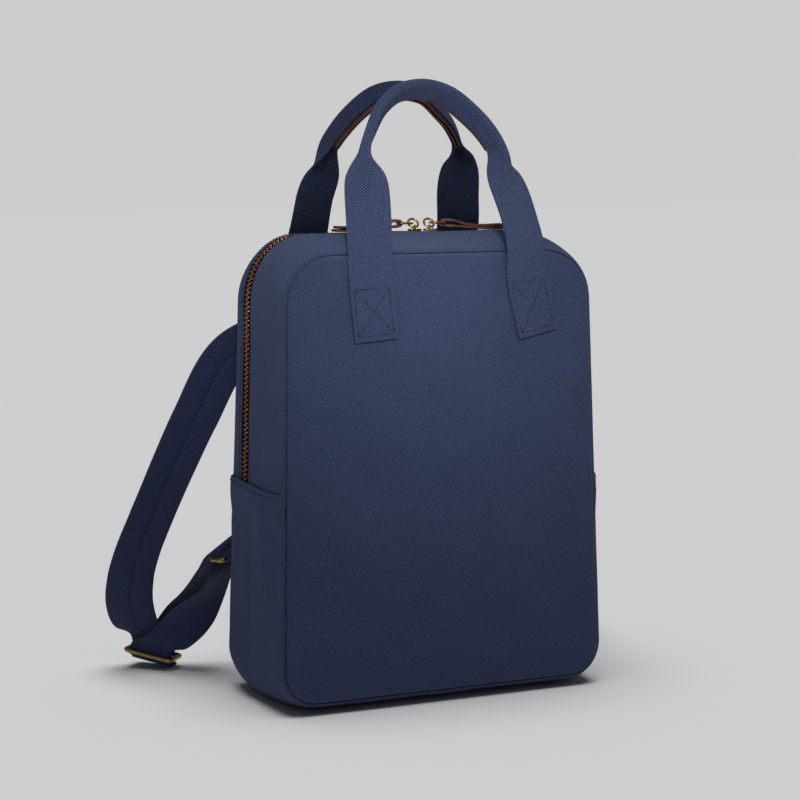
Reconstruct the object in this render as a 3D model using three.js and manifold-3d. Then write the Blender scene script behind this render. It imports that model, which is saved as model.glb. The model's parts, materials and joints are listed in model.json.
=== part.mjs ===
// A canvas tote backpack: two panels joined by a zipped gusset, two folded webbing handles,
// and two shoulder straps with tri-glides and rings. Millimetres, +Z up, front towards -Y,
// origin on the floor under the middle of the bag.
import * as THREE from "three";
import { mergeVertices } from "three/addons/utils/BufferGeometryUtils.js";
import Module from "manifold-3d";

const wasm = await Module();
wasm.setup();

// Bag body: seam to seam, seen from the front and from the side.
const PANEL_WIDTH_TOP = 281;
const PANEL_WIDTH_BOTTOM = 299;
const SEAM_TOP = 379;
const SEAM_BOTTOM = 7;
const DEPTH_TOP = 107;
const DEPTH_BOTTOM = 134;
const TOP_CORNER_RADIUS = 44;
const BOTTOM_CORNER_RADIUS = 30;
const CANVAS = 1.8; // wall of every canvas piece
const GAP = 0.3; // between pieces that touch

// How far the gusset stands out past the seam at its crest.
const CROWN_SIDE = 5;
const CROWN_TOP = 13;
const CROWN_BOTTOM = 10;
const CROWN_POWER = 2.6;
const SEAM_IN = 2; // the seam lies this far in from the corner it turns round
const SEAM_ROLL = 4.5; // the canvas turns in to the seam over this width
const PANEL_PUFF_FRONT = 6;
const PANEL_PUFF_BACK = 4;

// Zip: behind the middle of the gusset.
const ZIP_BACK = 20;
const ZIP_OPENING = 17.5; // between the canvas edges
const TAPE_WIDTH = 13;
const TAPE = 1;
const CHAIN_WIDTH = 9.4;
const CHAIN = 2.4;
const CHAIN_BELOW_CANVAS = 0.4;

// Base gusset: its folded hem covers the ends of the zip gusset.
const HEM_HEIGHT = 185;
const HEM_WIDTH = 14;
const HEM_FOLD = 1.2; // extra thickness of the folded hem
const HEM_FADE = 95; // the canvas settles back from the hem to the gusset over this height

// Webbing handles.
const WEBBING_WIDTH = 38;
const WEBBING = 1.9;
const HANDLE_HALF_SPAN = 72;
const HANDLE_RISE = 133; // top seam to the middle of the grip's section at its apex
const HANDLE_LEAN = 31; // how far the apex leans in towards the other handle
const PATCH_LENGTH = 45;
const PATCH_BELOW_SEAM = 26; // top seam to the top of the sewn patch
const PATCH_FOOT_STEP = 1.8; // the folded end rounds off over this height
const PATCH_FOOT_THIN = 1; // how much thinner its rounded end is
const PATCH_TOP_STEP = 1.5; // the turned-under layer ends over this height
const HANDLE_OFF_PANEL = 3; // the free webbing's stand-off where it passes the top seam
const FOLD_RADIUS = 3.4; // middle of the webbing at the fold of the grip
const LINING = 1.2;
const LINING_PROUD = 1.6; // leather past the webbing's edges

// Zip pulls, on the middle of the top.
const PULLS_MEET = 16;
const SLIDER_LENGTH = 11;
const SLIDER_WIDTH = 9;
const SLIDER = 1.7;
const SLIDERS_APART = 3; // between the noses of the two sliders
const BRIDGE_RADIUS = 3.2;
const BRIDGE_WIRE = 1.5;
const BRIDGE_SINK = 0.6; // into the plate
const PULL_RING_RADIUS = 4.5;
const PULL_RING_WIRE = 2;
const PULL_RING_FORWARD = 0.5; // ring past the bridge, towards its pull
const PULL_LINK_LENGTH = 13.5;
const PULL_LINK_WIDTH = 12;
const PULL_LINK_WIRE = 1.7;
const PULL_LINK_CORNER = 1.6;
const PULL_LENGTH = 60;
const PULL_WIDTH = 13;
const PULL_NARROWS = 8; // length of the narrowing
const LEATHER = 2.2;

// Shoulder straps and their hardware.
const STRAP_WIDTH = 42;
const STRAP = 2.6;
const STRAP_CREASE = 0.9;
const STRAP_ANCHOR_ACROSS = 20;
const STRAP_ANCHOR_HEIGHT = 352;
const STRAP_PAST_EDGE = 70.5; // from the panel's edge to the strap's widest point
const STRAP_STAND_OFF = 88; // from the back panel to the furthest point
const WIRE = 4; // brass rod of tri-glide and ring
const GLIDE_PAST_EDGE = 37.7; // from the panel's edge
const GLIDE_BACK = 154;
const GLIDE_HEIGHT = 13.2;
const GLIDE_TILT = 10; // degrees, outer end up
const GLIDE_TURN = 44; // degrees about the vertical
const GLIDE_HALF_DEPTH = 12; // middle bar to outer bar
const GLIDE_LENGTH = 44; // along the bars, to the middle of the rod
const RING_LENGTH = 44;
const RING_HEIGHT = 13; // between the two long bars
const RING_INSIDE_EDGE = 8.5; // in from the panel's edge
const RING_BACK = 96;
const RING_UP = 114.5;
const LOOP_SLACK = 14; // how far the two layers of the lower webbing stand apart
const HARDWARE_CORNER = 3; // bend of the brass rod
const TAB_WIDTH = 37;
const TAB_LENGTH = 44; // from the ring's bar to the end sewn to the panel
const TAB_NECK = 2; // straight stretch next to the ring

// Steps along the curves.
const ARC_STEPS = 6;
const SIDE_STEPS = 6;
const EYE_SIDES = 10;
const CORNER_STEPS = 2;
const LINE_STEPS = 7;

const MATERIALS = {
  canvas: { color: 0x333d57, roughness: 0.9, metalness: 0 },
  webbing: { color: 0x2f3852, roughness: 0.88, metalness: 0 },
  strap: { color: 0x22283f, roughness: 0.85, metalness: 0 },
  leather: { color: 0x4e2f28, roughness: 0.55, metalness: 0 },
  tape: { color: 0x4a2b22, roughness: 0.9, metalness: 0 },
  brass: { color: 0xa8864e, roughness: 0.35, metalness: 1 },
};

const root = new THREE.Group();

function addPart(name, geometry, kind) {
  geometry.computeVertexNormals();
  const mesh = new THREE.Mesh(geometry, new THREE.MeshStandardMaterial(MATERIALS[kind]));
  mesh.name = name;
  root.add(mesh);
}

const mix = (a, b, share) => a + (b - a) * share;
const clamp = (value, low, high) => Math.min(high, Math.max(low, value));
const smooth = (value) => {
  const t = clamp(value, 0, 1);
  return t * t * (3 - 2 * t);
};
const radians = THREE.MathUtils.degToRad;
const vec = (x, y, z) => new THREE.Vector3(x, y, z);

// A geometry from points and triangles, turned so that its faces point outwards.
function solid(points, triangles) {
  let volume = 0;
  for (const [a, b, c] of triangles) {
    volume += points[a].dot(points[b].clone().cross(points[c]));
  }
  const index = triangles.flatMap(([a, b, c]) => (volume < 0 ? [a, c, b] : [a, b, c]));
  return new THREE.BufferGeometry().setFromPoints(points).setIndex(index);
}

// A sheet with thickness: rows of points on its top and its bottom, as many in each row.
// A closed sheet joins its last row to its first.
function sheet(top, bottom, closed = false) {
  const rows = top.length;
  const across = top[0].length;
  const points = [...top.flat(), ...bottom.flat()];
  const triangles = [];
  const quad = (a, b, c, d) => triangles.push([a, b, c], [a, c, d]);
  const under = rows * across;
  const steps = closed ? rows : rows - 1;
  for (let i = 0; i < steps; i++) {
    const here = i * across;
    const next = ((i + 1) % rows) * across;
    for (let j = 0; j < across - 1; j++) {
      quad(here + j, here + j + 1, next + j + 1, next + j);
      quad(under + here + j, under + next + j, under + next + j + 1, under + here + j + 1);
    }
    const last = across - 1;
    quad(here, next, under + next, under + here);
    quad(here + last, under + here + last, under + next + last, next + last);
  }
  if (!closed) {
    const end = (rows - 1) * across;
    for (let j = 0; j < across - 1; j++) {
      quad(j, under + j, under + j + 1, j + 1);
      quad(end + j, end + j + 1, under + end + j + 1, under + end + j);
    }
  }
  return solid(points, triangles);
}

// Rings of points from the rim to near the middle, on the outside and inside of a panel.
function dish(outer, inner) {
  const count = outer[0].length;
  const points = [];
  const triangles = [];
  const centre = (ring) =>
    ring.reduce((sum, p) => sum.add(p), vec(0, 0, 0)).divideScalar(ring.length);
  const add = (rings) => {
    const start = points.length;
    points.push(...rings.flat(), centre(rings[rings.length - 1]));
    return start;
  };
  const face = (start, rings, flip) => {
    const put = (a, b, c) => triangles.push(flip ? [a, c, b] : [a, b, c]);
    for (let i = 0; i < count; i++) {
      const next = (i + 1) % count;
      for (let r = 0; r < rings - 1; r++) {
        const low = start + r * count;
        const high = low + count;
        put(low + i, low + next, high + next);
        put(low + i, high + next, high + i);
      }
      const last = start + (rings - 1) * count;
      put(last + i, last + next, start + rings * count);
    }
  };
  const outside = add(outer);
  const inside = add(inner);
  face(outside, outer.length, false);
  face(inside, inner.length, true);
  for (let i = 0; i < count; i++) {
    const next = (i + 1) % count;
    triangles.push([outside + i, inside + i, inside + next]);
    triangles.push([outside + i, inside + next, outside + next]);
  }
  return solid(points, triangles);
}

function toSolid(geometry) {
  const plain = geometry.clone();
  plain.deleteAttribute("normal");
  plain.deleteAttribute("uv");
  const merged = mergeVertices(plain, 1e-4);
  const index = merged.index.array;
  return new wasm.Manifold(
    new wasm.Mesh({
      numProp: 3,
      vertProperties: merged.attributes.position.array,
      triVerts: new Uint32Array(index),
    }),
  );
}

function fromSolid(made) {
  const mesh = made.getMesh();
  const geometry = new THREE.BufferGeometry();
  geometry.setAttribute("position", new THREE.BufferAttribute(mesh.vertProperties, 3));
  geometry.setIndex(new THREE.BufferAttribute(mesh.triVerts, 1));
  return geometry;
}

const mirrored = (geometry) => {
  const copy = geometry.clone().applyMatrix4(new THREE.Matrix4().makeScale(-1, 1, 1));
  const index = copy.index ?? new THREE.BufferAttribute(
    Uint32Array.from({ length: copy.attributes.position.count }, (_, i) => i), 1);
  const turned = index.array.slice();
  for (let i = 0; i < turned.length; i += 3) {
    [turned[i + 1], turned[i + 2]] = [turned[i + 2], turned[i + 1]];
  }
  copy.setIndex(new THREE.BufferAttribute(turned, 1));
  return copy;
};

// The seam's outline, seen from the front: a tapering panel with round corners.
const slope = Math.atan2((PANEL_WIDTH_BOTTOM - PANEL_WIDTH_TOP) / 2, SEAM_TOP - SEAM_BOTTOM);
const upShare = (z) => (z - SEAM_BOTTOM) / (SEAM_TOP - SEAM_BOTTOM);
const halfWidthAt = (z) => mix(PANEL_WIDTH_BOTTOM, PANEL_WIDTH_TOP, upShare(z)) / 2;
const halfDepthAt = (z) => mix(DEPTH_BOTTOM, DEPTH_TOP, upShare(z)) / 2;

const topCentre = {
  x: halfWidthAt(SEAM_TOP - TOP_CORNER_RADIUS) - TOP_CORNER_RADIUS / Math.cos(slope),
  z: SEAM_TOP - TOP_CORNER_RADIUS,
};
const bottomCentre = {
  x: halfWidthAt(SEAM_BOTTOM + BOTTOM_CORNER_RADIUS) - BOTTOM_CORNER_RADIUS / Math.cos(slope),
  z: SEAM_BOTTOM + BOTTOM_CORNER_RADIUS,
};

function arc(centre, radius, from, to, side) {
  return Array.from({ length: ARC_STEPS + 1 }, (_, i) => {
    const angle = mix(from, to, i / ARC_STEPS);
    return {
      x: side * (centre.x + radius * Math.cos(angle)),
      z: centre.z + radius * Math.sin(angle),
      nx: side * Math.cos(angle),
      nz: Math.sin(angle),
    };
  });
}

function between(a, b, steps) {
  return Array.from({ length: steps - 1 }, (_, i) => {
    const share = (i + 1) / steps;
    return { x: mix(a.x, b.x, share), z: mix(a.z, b.z, share), nx: a.nx, nz: a.nz };
  });
}

function sidePoint(z, side) {
  return { x: side * halfWidthAt(z), z, nx: side * Math.cos(slope), nz: Math.sin(slope) };
}

// From a height on the right side, over the top, to the same height on the left side.
function overTheTop(height) {
  const right = arc(topCentre, TOP_CORNER_RADIUS, slope, Math.PI / 2, 1);
  const left = arc(topCentre, TOP_CORNER_RADIUS, Math.PI / 2, slope, -1);
  return [
    sidePoint(height, 1),
    ...between(sidePoint(height, 1), right[0], SIDE_STEPS),
    ...right,
    ...between(right[ARC_STEPS], left[0], LINE_STEPS),
    ...left,
    ...between(left[ARC_STEPS], sidePoint(height, -1), SIDE_STEPS),
    sidePoint(height, -1),
  ];
}

// From a height on the left side, under the bottom, to the same height on the right side.
function underTheBottom(height) {
  const left = arc(bottomCentre, BOTTOM_CORNER_RADIUS, slope, -Math.PI / 2, -1);
  const right = arc(bottomCentre, BOTTOM_CORNER_RADIUS, -Math.PI / 2, slope, 1);
  return [
    sidePoint(height, -1),
    ...between(sidePoint(height, -1), left[0], SIDE_STEPS),
    ...left,
    ...between(left[ARC_STEPS], right[0], LINE_STEPS),
    ...right,
    ...between(right[ARC_STEPS], sidePoint(height, 1), SIDE_STEPS),
    sidePoint(height, 1),
  ];
}

// How far the canvas has turned in to the seam, from 0 to 1 at the seam itself.
const turnedIn = (fromSeam) => clamp(1 - (fromSeam - SEAM_IN) / SEAM_ROLL, 0, 1) ** 2;

// How far the gusset stands out at a point of the outline, at a place y across the bag.
function crownAt(point, y) {
  const flat = point.nz * point.nz;
  const most = mix(CROWN_SIDE, point.nz > 0 ? CROWN_TOP : CROWN_BOTTOM, flat);
  const depth = halfDepthAt(point.z);
  const edge = y < ZIP_BACK ? SEAM_IN - depth : depth - SEAM_IN;
  const share = clamp((y - ZIP_BACK) / (edge - ZIP_BACK), 0, 1);
  return most * (1 - share ** CROWN_POWER) - SEAM_IN * turnedIn(depth - Math.abs(y));
}

// Soft dents and rises of the lower gusset: where they are along and across it, as shares of the
// half bottom and the half depth, how deep, and how long and wide.
const LOWER_DENTS = [
  { side: -1, up: 0.32, across: -0.45, depth: 2.6, tall: 0.3, wide: 0.28 },
  { side: -1, up: 0.2, across: 0.05, depth: -2.2, tall: 0.3, wide: 0.25 },
  { side: -1, up: 0.33, across: 0.55, depth: 1.8, tall: 0.22, wide: 0.25 },
  { side: 1, up: 0.3, across: -0.35, depth: 2.4, tall: 0.3, wide: 0.28 },
  { side: 1, up: 0.18, across: 0.2, depth: -2, tall: 0.3, wide: 0.25 },
];

function dentAt(point, y) {
  const up = upShare(point.z);
  const across = y / halfDepthAt(point.z);
  const upright = 1 - point.nz * point.nz;
  let sum = 0;
  for (const dent of LOWER_DENTS) {
    if (dent.side * point.nx <= 0) continue;
    const a = (up - dent.up) / dent.tall;
    const b = (across - dent.across) / dent.wide;
    sum += dent.depth * Math.exp(-4 * (a * a + b * b));
  }
  return sum * upright;
}

// A point of the gusset: out past the outline, never below the floor.
function gussetPoint(point, y, out) {
  return vec(point.x + point.nx * out, y, Math.max(point.z + point.nz * out, 0));
}

// A strip along the outline. Its inner face turns with the canvas, so that gusset and panel
// meet at the seam on a mitre; mitred gives how much of that turn a station has.
function gussetStrip(stations, placesAcross, outAt, wallAt, mitred = () => 1) {
  const top = stations.map((point) =>
    placesAcross(point).map((y) => gussetPoint(point, y, outAt(point, y))));
  const bottom = stations.map((point, i) =>
    placesAcross(point).map((y, j) => {
      const face = top[i][j];
      const turn = (Math.PI / 4) * turnedIn(halfDepthAt(point.z) - Math.abs(y)) * mitred(point);
      const inwards = wallAt(point) * Math.cos(turn);
      return vec(face.x - point.nx * inwards, y - Math.sign(y) * wallAt(point) * Math.sin(turn),
        face.z - point.nz * inwards);
    }));
  return sheet(top, bottom);
}

const acrossFrom = (from, to, shares) => shares.map((share) => mix(from, to, share));
const seamGap = GAP / Math.SQRT2; // on each side of the mitre, measured along the face
const rimInset = SEAM_IN + seamGap;
const rollShares = [0, 0.3, 1]; // places across the roll of a seam
const zipEdge = ZIP_OPENING / 2;

// Places across the gusset, from the front seam to the zip and from the zip to the back seam.
function frontPlaces(point) {
  const seam = rimInset - halfDepthAt(point.z);
  return [...acrossFrom(seam, seam + SEAM_ROLL, rollShares),
    ...acrossFrom(seam + SEAM_ROLL, ZIP_BACK - zipEdge, [0.15, 0.35, 0.65, 1])];
}

function backPlaces(point) {
  const seam = halfDepthAt(point.z) - rimInset;
  return [...acrossFrom(ZIP_BACK + zipEdge, seam - SEAM_ROLL, [0, 0.6]),
    ...acrossFrom(seam, seam - SEAM_ROLL, rollShares).reverse()];
}

function buildZipGusset() {
  const stations = overTheTop(HEM_HEIGHT - HEM_WIDTH);
  const canvas = () => CANVAS;
  addPart("front_zip_gusset", gussetStrip(stations, frontPlaces, crownAt, canvas), "canvas");
  addPart("back_zip_gusset", gussetStrip(stations, backPlaces, crownAt, canvas), "canvas");
}

function buildZip() {
  const stations = overTheTop(HEM_HEIGHT - HEM_WIDTH);
  const atEdge = (point) => crownAt(point, ZIP_BACK - zipEdge);
  const underChain = CHAIN_BELOW_CANVAS + CHAIN + GAP;
  const underCanvas = CANVAS + 3 * GAP;
  const tapeTop = (point, y) =>
    Math.min(atEdge(point) - underChain, crownAt(point, y) - underCanvas);
  for (const [name, side] of [["front_zip_tape", -1], ["back_zip_tape", 1]]) {
    addPart(name, gussetStrip(stations, () =>
      [ZIP_BACK + (side * GAP) / 2, ZIP_BACK + side * TAPE_WIDTH],
    tapeTop, () => TAPE), "tape");
  }
  addPart("zip_chain", gussetStrip(stations, () =>
    [ZIP_BACK - CHAIN_WIDTH / 2, ZIP_BACK + CHAIN_WIDTH / 2],
  (point) => atEdge(point) - CHAIN_BELOW_CANVAS, () => CHAIN), "brass");
}

function buildBaseGusset() {
  const lift = CANVAS + GAP;
  const stations = underTheBottom(HEM_HEIGHT);
  // The hem is a step in thickness: its two ends get stations of their own.
  const hemFoot = HEM_HEIGHT - HEM_WIDTH;
  const withHems = [stations[0], sidePoint(hemFoot, -1), sidePoint(hemFoot - HEM_FOLD, -1),
    ...stations.slice(1, -1).filter((point) => point.z < hemFoot - 2 * HEM_FOLD),
    sidePoint(hemFoot - HEM_FOLD, 1), sidePoint(hemFoot, 1), stations[stations.length - 1]];
  const places = (point) => [...frontPlaces(point), ...backPlaces(point)];
  const inHem = (point) => smooth((point.z - (hemFoot - HEM_FOLD)) / HEM_FOLD);
  // Below the hem the canvas still stands out, and only its seams lie at the panels' edges.
  const settled = (point, y) => smooth((point.z - (hemFoot - HEM_FADE)) / HEM_FADE)
    * (1 - turnedIn(halfDepthAt(point.z) - Math.abs(y)));
  const raised = (point, y) => Math.max(inHem(point), settled(point, y));
  const out = (point, y) => crownAt(point, y) + dentAt(point, y) * (1 - inHem(point))
    + (lift + HEM_FOLD) * raised(point, y);
  const wall = (point) => CANVAS + HEM_FOLD * inHem(point);
  addPart("base_gusset",
    gussetStrip(withHems, places, out, wall, (point) => 1 - inHem(point)), "canvas");
}

// How far a panel stands out from the seam plane, at a place on it.
function panelOut(x, z, puff) {
  const across = clamp(Math.abs(x) / (halfWidthAt(z) - SEAM_IN), 0, 1);
  const up = clamp(Math.abs(2 * upShare(z) - 1), 0, 1);
  return puff * (1 - across ** 2.4) * (1 - up ** 3);
}

// One ring of a panel: inset from the outline, then shrunk about the panel's middle by scale.
function panelRing(outline, ring, side, puff, thick) {
  const middle = (SEAM_TOP + SEAM_BOTTOM) / 2;
  const turned = turnedIn(ring.inset);
  const turn = (Math.PI / 4) * turned;
  const inset = ring.inset + thick * Math.sin(turn);
  return outline.map((point) => {
    const x = (point.x - point.nx * inset) * ring.scale;
    const z = middle + (point.z - point.nz * inset - middle) * ring.scale;
    const puffed = panelOut(x, z, puff) * (1 - turned);
    const out = halfDepthAt(z) + puffed - SEAM_IN * turned - thick * Math.cos(turn);
    return vec(x, side * out, z);
  });
}

function buildPanel(name, side, puff) {
  const middle = (SEAM_TOP + SEAM_BOTTOM) / 2;
  const outline = [...overTheTop(middle).slice(0, -1), ...underTheBottom(middle).slice(0, -1)];
  const rolled = acrossFrom(rimInset, rimInset + SEAM_ROLL, rollShares)
    .map((inset) => ({ inset, scale: 1 }));
  const flat = rolled[rolled.length - 1].inset;
  const rings = [...rolled, ...[0.76, 0.4].map((scale) => ({ inset: flat, scale }))];
  const make = (chosen, thick) =>
    chosen.map((ring) => panelRing(outline, ring, side, puff, thick));
  const outer = make(rings, 0);
  const inner = make(rings.filter((_, i) => i !== 1), CANVAS);
  addPart(name, dish(outer, inner), "canvas");
}

// The folded webbing of a handle: its middle line across, bent to a narrow U as fold goes to 1.
// Returns points (along the width, out towards the ridge) with their normals.
function foldedSection(width, radius, fold, proud) {
  const bend = Math.PI * radius; // length of the bent stretch at full fold
  const half = width / 2 + proud;
  const places = [0, 0.5, 1].map((share) => (share * bend) / 2).concat(half);
  const turn = (s) => fold * (Math.PI / 2) * Math.min(1, s / (bend / 2));
  const side = [];
  let x = 0;
  let y = 0;
  let last = 0;
  for (const place of places) {
    const steps = 8;
    for (let i = 0; i < steps; i++) {
      const s = mix(last, place, (i + 0.5) / steps);
      x += (Math.cos(turn(s)) * (place - last)) / steps;
      y -= (Math.sin(turn(s)) * (place - last)) / steps;
    }
    last = place;
    side.push({ x, y, nx: Math.sin(turn(place)), ny: Math.cos(turn(place)) });
  }
  const other = side.slice(1).map((p) => ({ x: -p.x, y: p.y, nx: -p.nx, ny: p.ny })).reverse();
  return [...other, ...side];
}

// Handle routes, from the left foot to the right: across as shares of the half span, up as
// shares of the rise above the top seam, lean as shares of the whole lean, fold from flat
// webbing (0) to folded grip (1), and the turn of the face outwards in degrees.
const FRONT_HANDLE = [
  { across: -0.95, up: 0, lean: 0, fold: 0, turn: 4 },
  { across: -0.93, up: 0.14, lean: 0.14, fold: 0, turn: 11 },
  { across: -0.91, up: 0.32, lean: 0.34, fold: 0.04, turn: 13 },
  { across: -0.9, up: 0.45, lean: 0.46, fold: 0.3, turn: 13 },
  { across: -0.9, up: 0.535, lean: 0.54, fold: 0.68, turn: 16 },
  { across: -0.885, up: 0.62, lean: 0.63, fold: 1, turn: 20 },
  { across: -0.79, up: 0.74, lean: 0.75, fold: 1, turn: 28 },
  { across: -0.62, up: 0.885, lean: 0.89, fold: 1, turn: 36 },
  { across: -0.44, up: 0.962, lean: 0.96, fold: 1, turn: 40 },
  { across: -0.14, up: 1, lean: 1, fold: 1, turn: 45 },
  { across: 0.2, up: 0.962, lean: 0.96, fold: 1, turn: 45 },
  { across: 0.48, up: 0.854, lean: 0.87, fold: 1, turn: 42 },
  { across: 0.69, up: 0.734, lean: 0.75, fold: 1, turn: 34 },
  { across: 0.8, up: 0.632, lean: 0.64, fold: 1, turn: 24 },
  { across: 0.85, up: 0.56, lean: 0.57, fold: 0.72, turn: 18 },
  { across: 0.875, up: 0.477, lean: 0.49, fold: 0.36, turn: 14 },
  { across: 0.93, up: 0.346, lean: 0.36, fold: 0.04, turn: 13 },
  { across: 0.99, up: 0.214, lean: 0.22, fold: 0, turn: 13 },
  { across: 1.045, up: 0, lean: 0, fold: 0, turn: 6 },
];
const BACK_HANDLE = [
  { across: -1.06, up: 0, lean: 0, fold: 0, turn: 4 },
  { across: -1.035, up: 0.17, lean: 0.18, fold: 0, turn: 11 },
  { across: -1.0, up: 0.34, lean: 0.35, fold: 0.04, turn: 13 },
  { across: -0.96, up: 0.46, lean: 0.47, fold: 0.32, turn: 13 },
  { across: -0.935, up: 0.546, lean: 0.55, fold: 0.68, turn: 16 },
  { across: -0.89, up: 0.645, lean: 0.65, fold: 1, turn: 24 },
  { across: -0.78, up: 0.745, lean: 0.75, fold: 1, turn: 32 },
  { across: -0.58, up: 0.87, lean: 0.88, fold: 1, turn: 40 },
  { across: -0.34, up: 0.965, lean: 0.96, fold: 1, turn: 45 },
  { across: -0.02, up: 1, lean: 1, fold: 1, turn: 45 },
  { across: 0.28, up: 0.965, lean: 0.96, fold: 1, turn: 45 },
  { across: 0.49, up: 0.875, lean: 0.88, fold: 1, turn: 42 },
  { across: 0.66, up: 0.785, lean: 0.79, fold: 1, turn: 36 },
  { across: 0.8, up: 0.652, lean: 0.66, fold: 1, turn: 24 },
  { across: 0.845, up: 0.579, lean: 0.58, fold: 0.68, turn: 16 },
  { across: 0.857, up: 0.477, lean: 0.49, fold: 0.3, turn: 13 },
  { across: 0.88, up: 0.338, lean: 0.35, fold: 0.04, turn: 13 },
  { across: 0.925, up: 0.15, lean: 0.16, fold: 0, turn: 13 },
  { across: 0.94, up: 0, lean: 0, fold: 0, turn: 6 },
];
// Where the sewn feet stand, as shares of the half span, at the patch's top and foot.
const FRONT_FEET = { left: [-0.95, -0.9], right: [1.05, 1.18] };
const BACK_FEET = { left: [-1.07, -1.12], right: [0.95, 1.02] };

// One handle seen as a front one: the back one is its mirror across the bag.
function buildHandle(name, rows, feet, side, puff) {
  const seamFace = DEPTH_TOP / 2 + WEBBING / 2 + GAP + HANDLE_OFF_PANEL;
  const patchTop = SEAM_TOP - PATCH_BELOW_SEAM;
  const patchFoot = patchTop - PATCH_LENGTH;
  const sewn = (share, z, thick) => {
    const x = share * HANDLE_HALF_SPAN;
    const half = WEBBING_WIDTH / 2;
    const near = panelOut(Math.abs(x) - half, z, puff);
    const far = panelOut(Math.abs(x) + half, z, puff);
    const lift = panelOut(x, z, puff) - (near + far) / 2;
    const out = halfDepthAt(z) + (near + far) / 2 + lift + GAP + thick / 2;
    const turn = THREE.MathUtils.radToDeg(Math.atan((near - far) / WEBBING_WIDTH));
    return { at: vec(x, -out, z), fold: 0, turn, thick };
  };
  const doubled = 2 * WEBBING;
  const footStep = PATCH_FOOT_STEP / PATCH_LENGTH;
  const foot = ([top, bottom]) => [
    sewn(bottom, patchFoot, doubled - PATCH_FOOT_THIN),
    sewn(mix(bottom, top, footStep), mix(patchFoot, patchTop, footStep), doubled),
    sewn(mix(bottom, top, 0.5), mix(patchFoot, patchTop, 0.5), doubled),
    sewn(top, patchTop, doubled),
    sewn(top, patchTop + PATCH_TOP_STEP, WEBBING),
  ];
  const free = rows.map((row) => ({
    at: vec(row.across * HANDLE_HALF_SPAN, -(seamFace - row.lean * HANDLE_LEAN),
      SEAM_TOP + row.up * HANDLE_RISE),
    fold: row.fold,
    turn: row.turn,
    thick: WEBBING,
  }));
  const stations = [...foot(feet.left), ...free, ...foot(feet.right).reverse()];
  const curve = new THREE.CatmullRomCurve3(stations.map((s) => s.at), false, "centripetal");
  const frames = stations.map((station, i) => {
    const along = curve.getTangent(i / (stations.length - 1));
    const outwards = vec(0, -1, 0);
    outwards.addScaledVector(along, -outwards.dot(along)).normalize();
    const inwards = along.clone().cross(outwards);
    const angle = radians(station.turn);
    return {
      ...station,
      ridge: outwards.clone().multiplyScalar(Math.cos(angle))
        .addScaledVector(inwards, -Math.sin(angle)),
      width: inwards.clone().multiplyScalar(Math.cos(angle))
        .addScaledVector(outwards, Math.sin(angle)),
    };
  });
  const band = (chosen, width, thickOf, radius, proud) => {
    const faces = [[], []];
    for (const frame of chosen) {
      const section = foldedSection(width, radius, frame.fold, proud);
      const full = foldedSection(WEBBING_WIDTH, FOLD_RADIUS, frame.fold, 0);
      const middle = (Math.max(...full.map((p) => p.y)) + Math.min(...full.map((p) => p.y))) / 2;
      const thick = thickOf(frame);
      faces.forEach((face, k) => {
        const off = (k === 0 ? 1 : -1) * (thick / 2);
        face.push(section.map((p) => {
          const point = frame.at.clone()
            .addScaledVector(frame.width, p.x + p.nx * off)
            .addScaledVector(frame.ridge, p.y - middle + p.ny * off
              - (radius < FOLD_RADIUS ? FOLD_RADIUS - radius : 0));
          if (side > 0) point.y = -point.y;
          return point;
        }));
      });
    }
    return sheet(faces[0], faces[1]);
  };
  addPart(name + "_handle", band(frames, WEBBING_WIDTH, (f) => f.thick, FOLD_RADIUS, 0), "webbing");
  const gripped = frames.filter((f) => f.fold === 1);
  const liningRadius = FOLD_RADIUS - WEBBING / 2 - GAP - LINING / 2;
  // The lining is as deep as the fold: its flaps follow the webbing's and stand proud of them.
  const liningWidth = WEBBING_WIDTH - Math.PI * (FOLD_RADIUS - liningRadius);
  addPart(name + "_grip_lining",
    band(gripped, liningWidth, () => LINING, liningRadius, LINING_PROUD), "leather");
}

// Zip pulls: slider, round ring, oval link and a strip of leather folded round the link.
const topCrest = SEAM_TOP + CROWN_TOP;

function circleRoute(centre, radius, count, place) {
  return Array.from({ length: count }, (_, i) => {
    const angle = (2 * Math.PI * i) / count;
    return centre.clone().add(place(radius * Math.cos(angle), radius * Math.sin(angle)));
  });
}

function closedRod(route, wire, sides) {
  // Rings of points round the route, joined to a closed tube.
  const count = route.length;
  const centre = route.reduce((sum, p) => sum.add(p), vec(0, 0, 0)).divideScalar(count);
  const points = [];
  const triangles = [];
  route.forEach((point, i) => {
    const along = route[(i + 1) % count].clone().sub(route[(i + count - 1) % count]).normalize();
    const out = point.clone().sub(centre);
    out.addScaledVector(along, -out.dot(along)).normalize();
    const up = along.clone().cross(out);
    for (let k = 0; k < sides; k++) {
      const angle = (2 * Math.PI * (k + 0.5)) / sides;
      points.push(point.clone()
        .addScaledVector(out, (wire / 2) * Math.cos(angle))
        .addScaledVector(up, (wire / 2) * Math.sin(angle)));
    }
  });
  for (let i = 0; i < count; i++) {
    for (let k = 0; k < sides; k++) {
      const a = i * sides + k;
      const b = i * sides + ((k + 1) % sides);
      const c = ((i + 1) % count) * sides + ((k + 1) % sides);
      const d = ((i + 1) % count) * sides + k;
      triangles.push([a, b, c], [a, c, d]);
    }
  }
  return solid(points, triangles);
}

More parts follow.
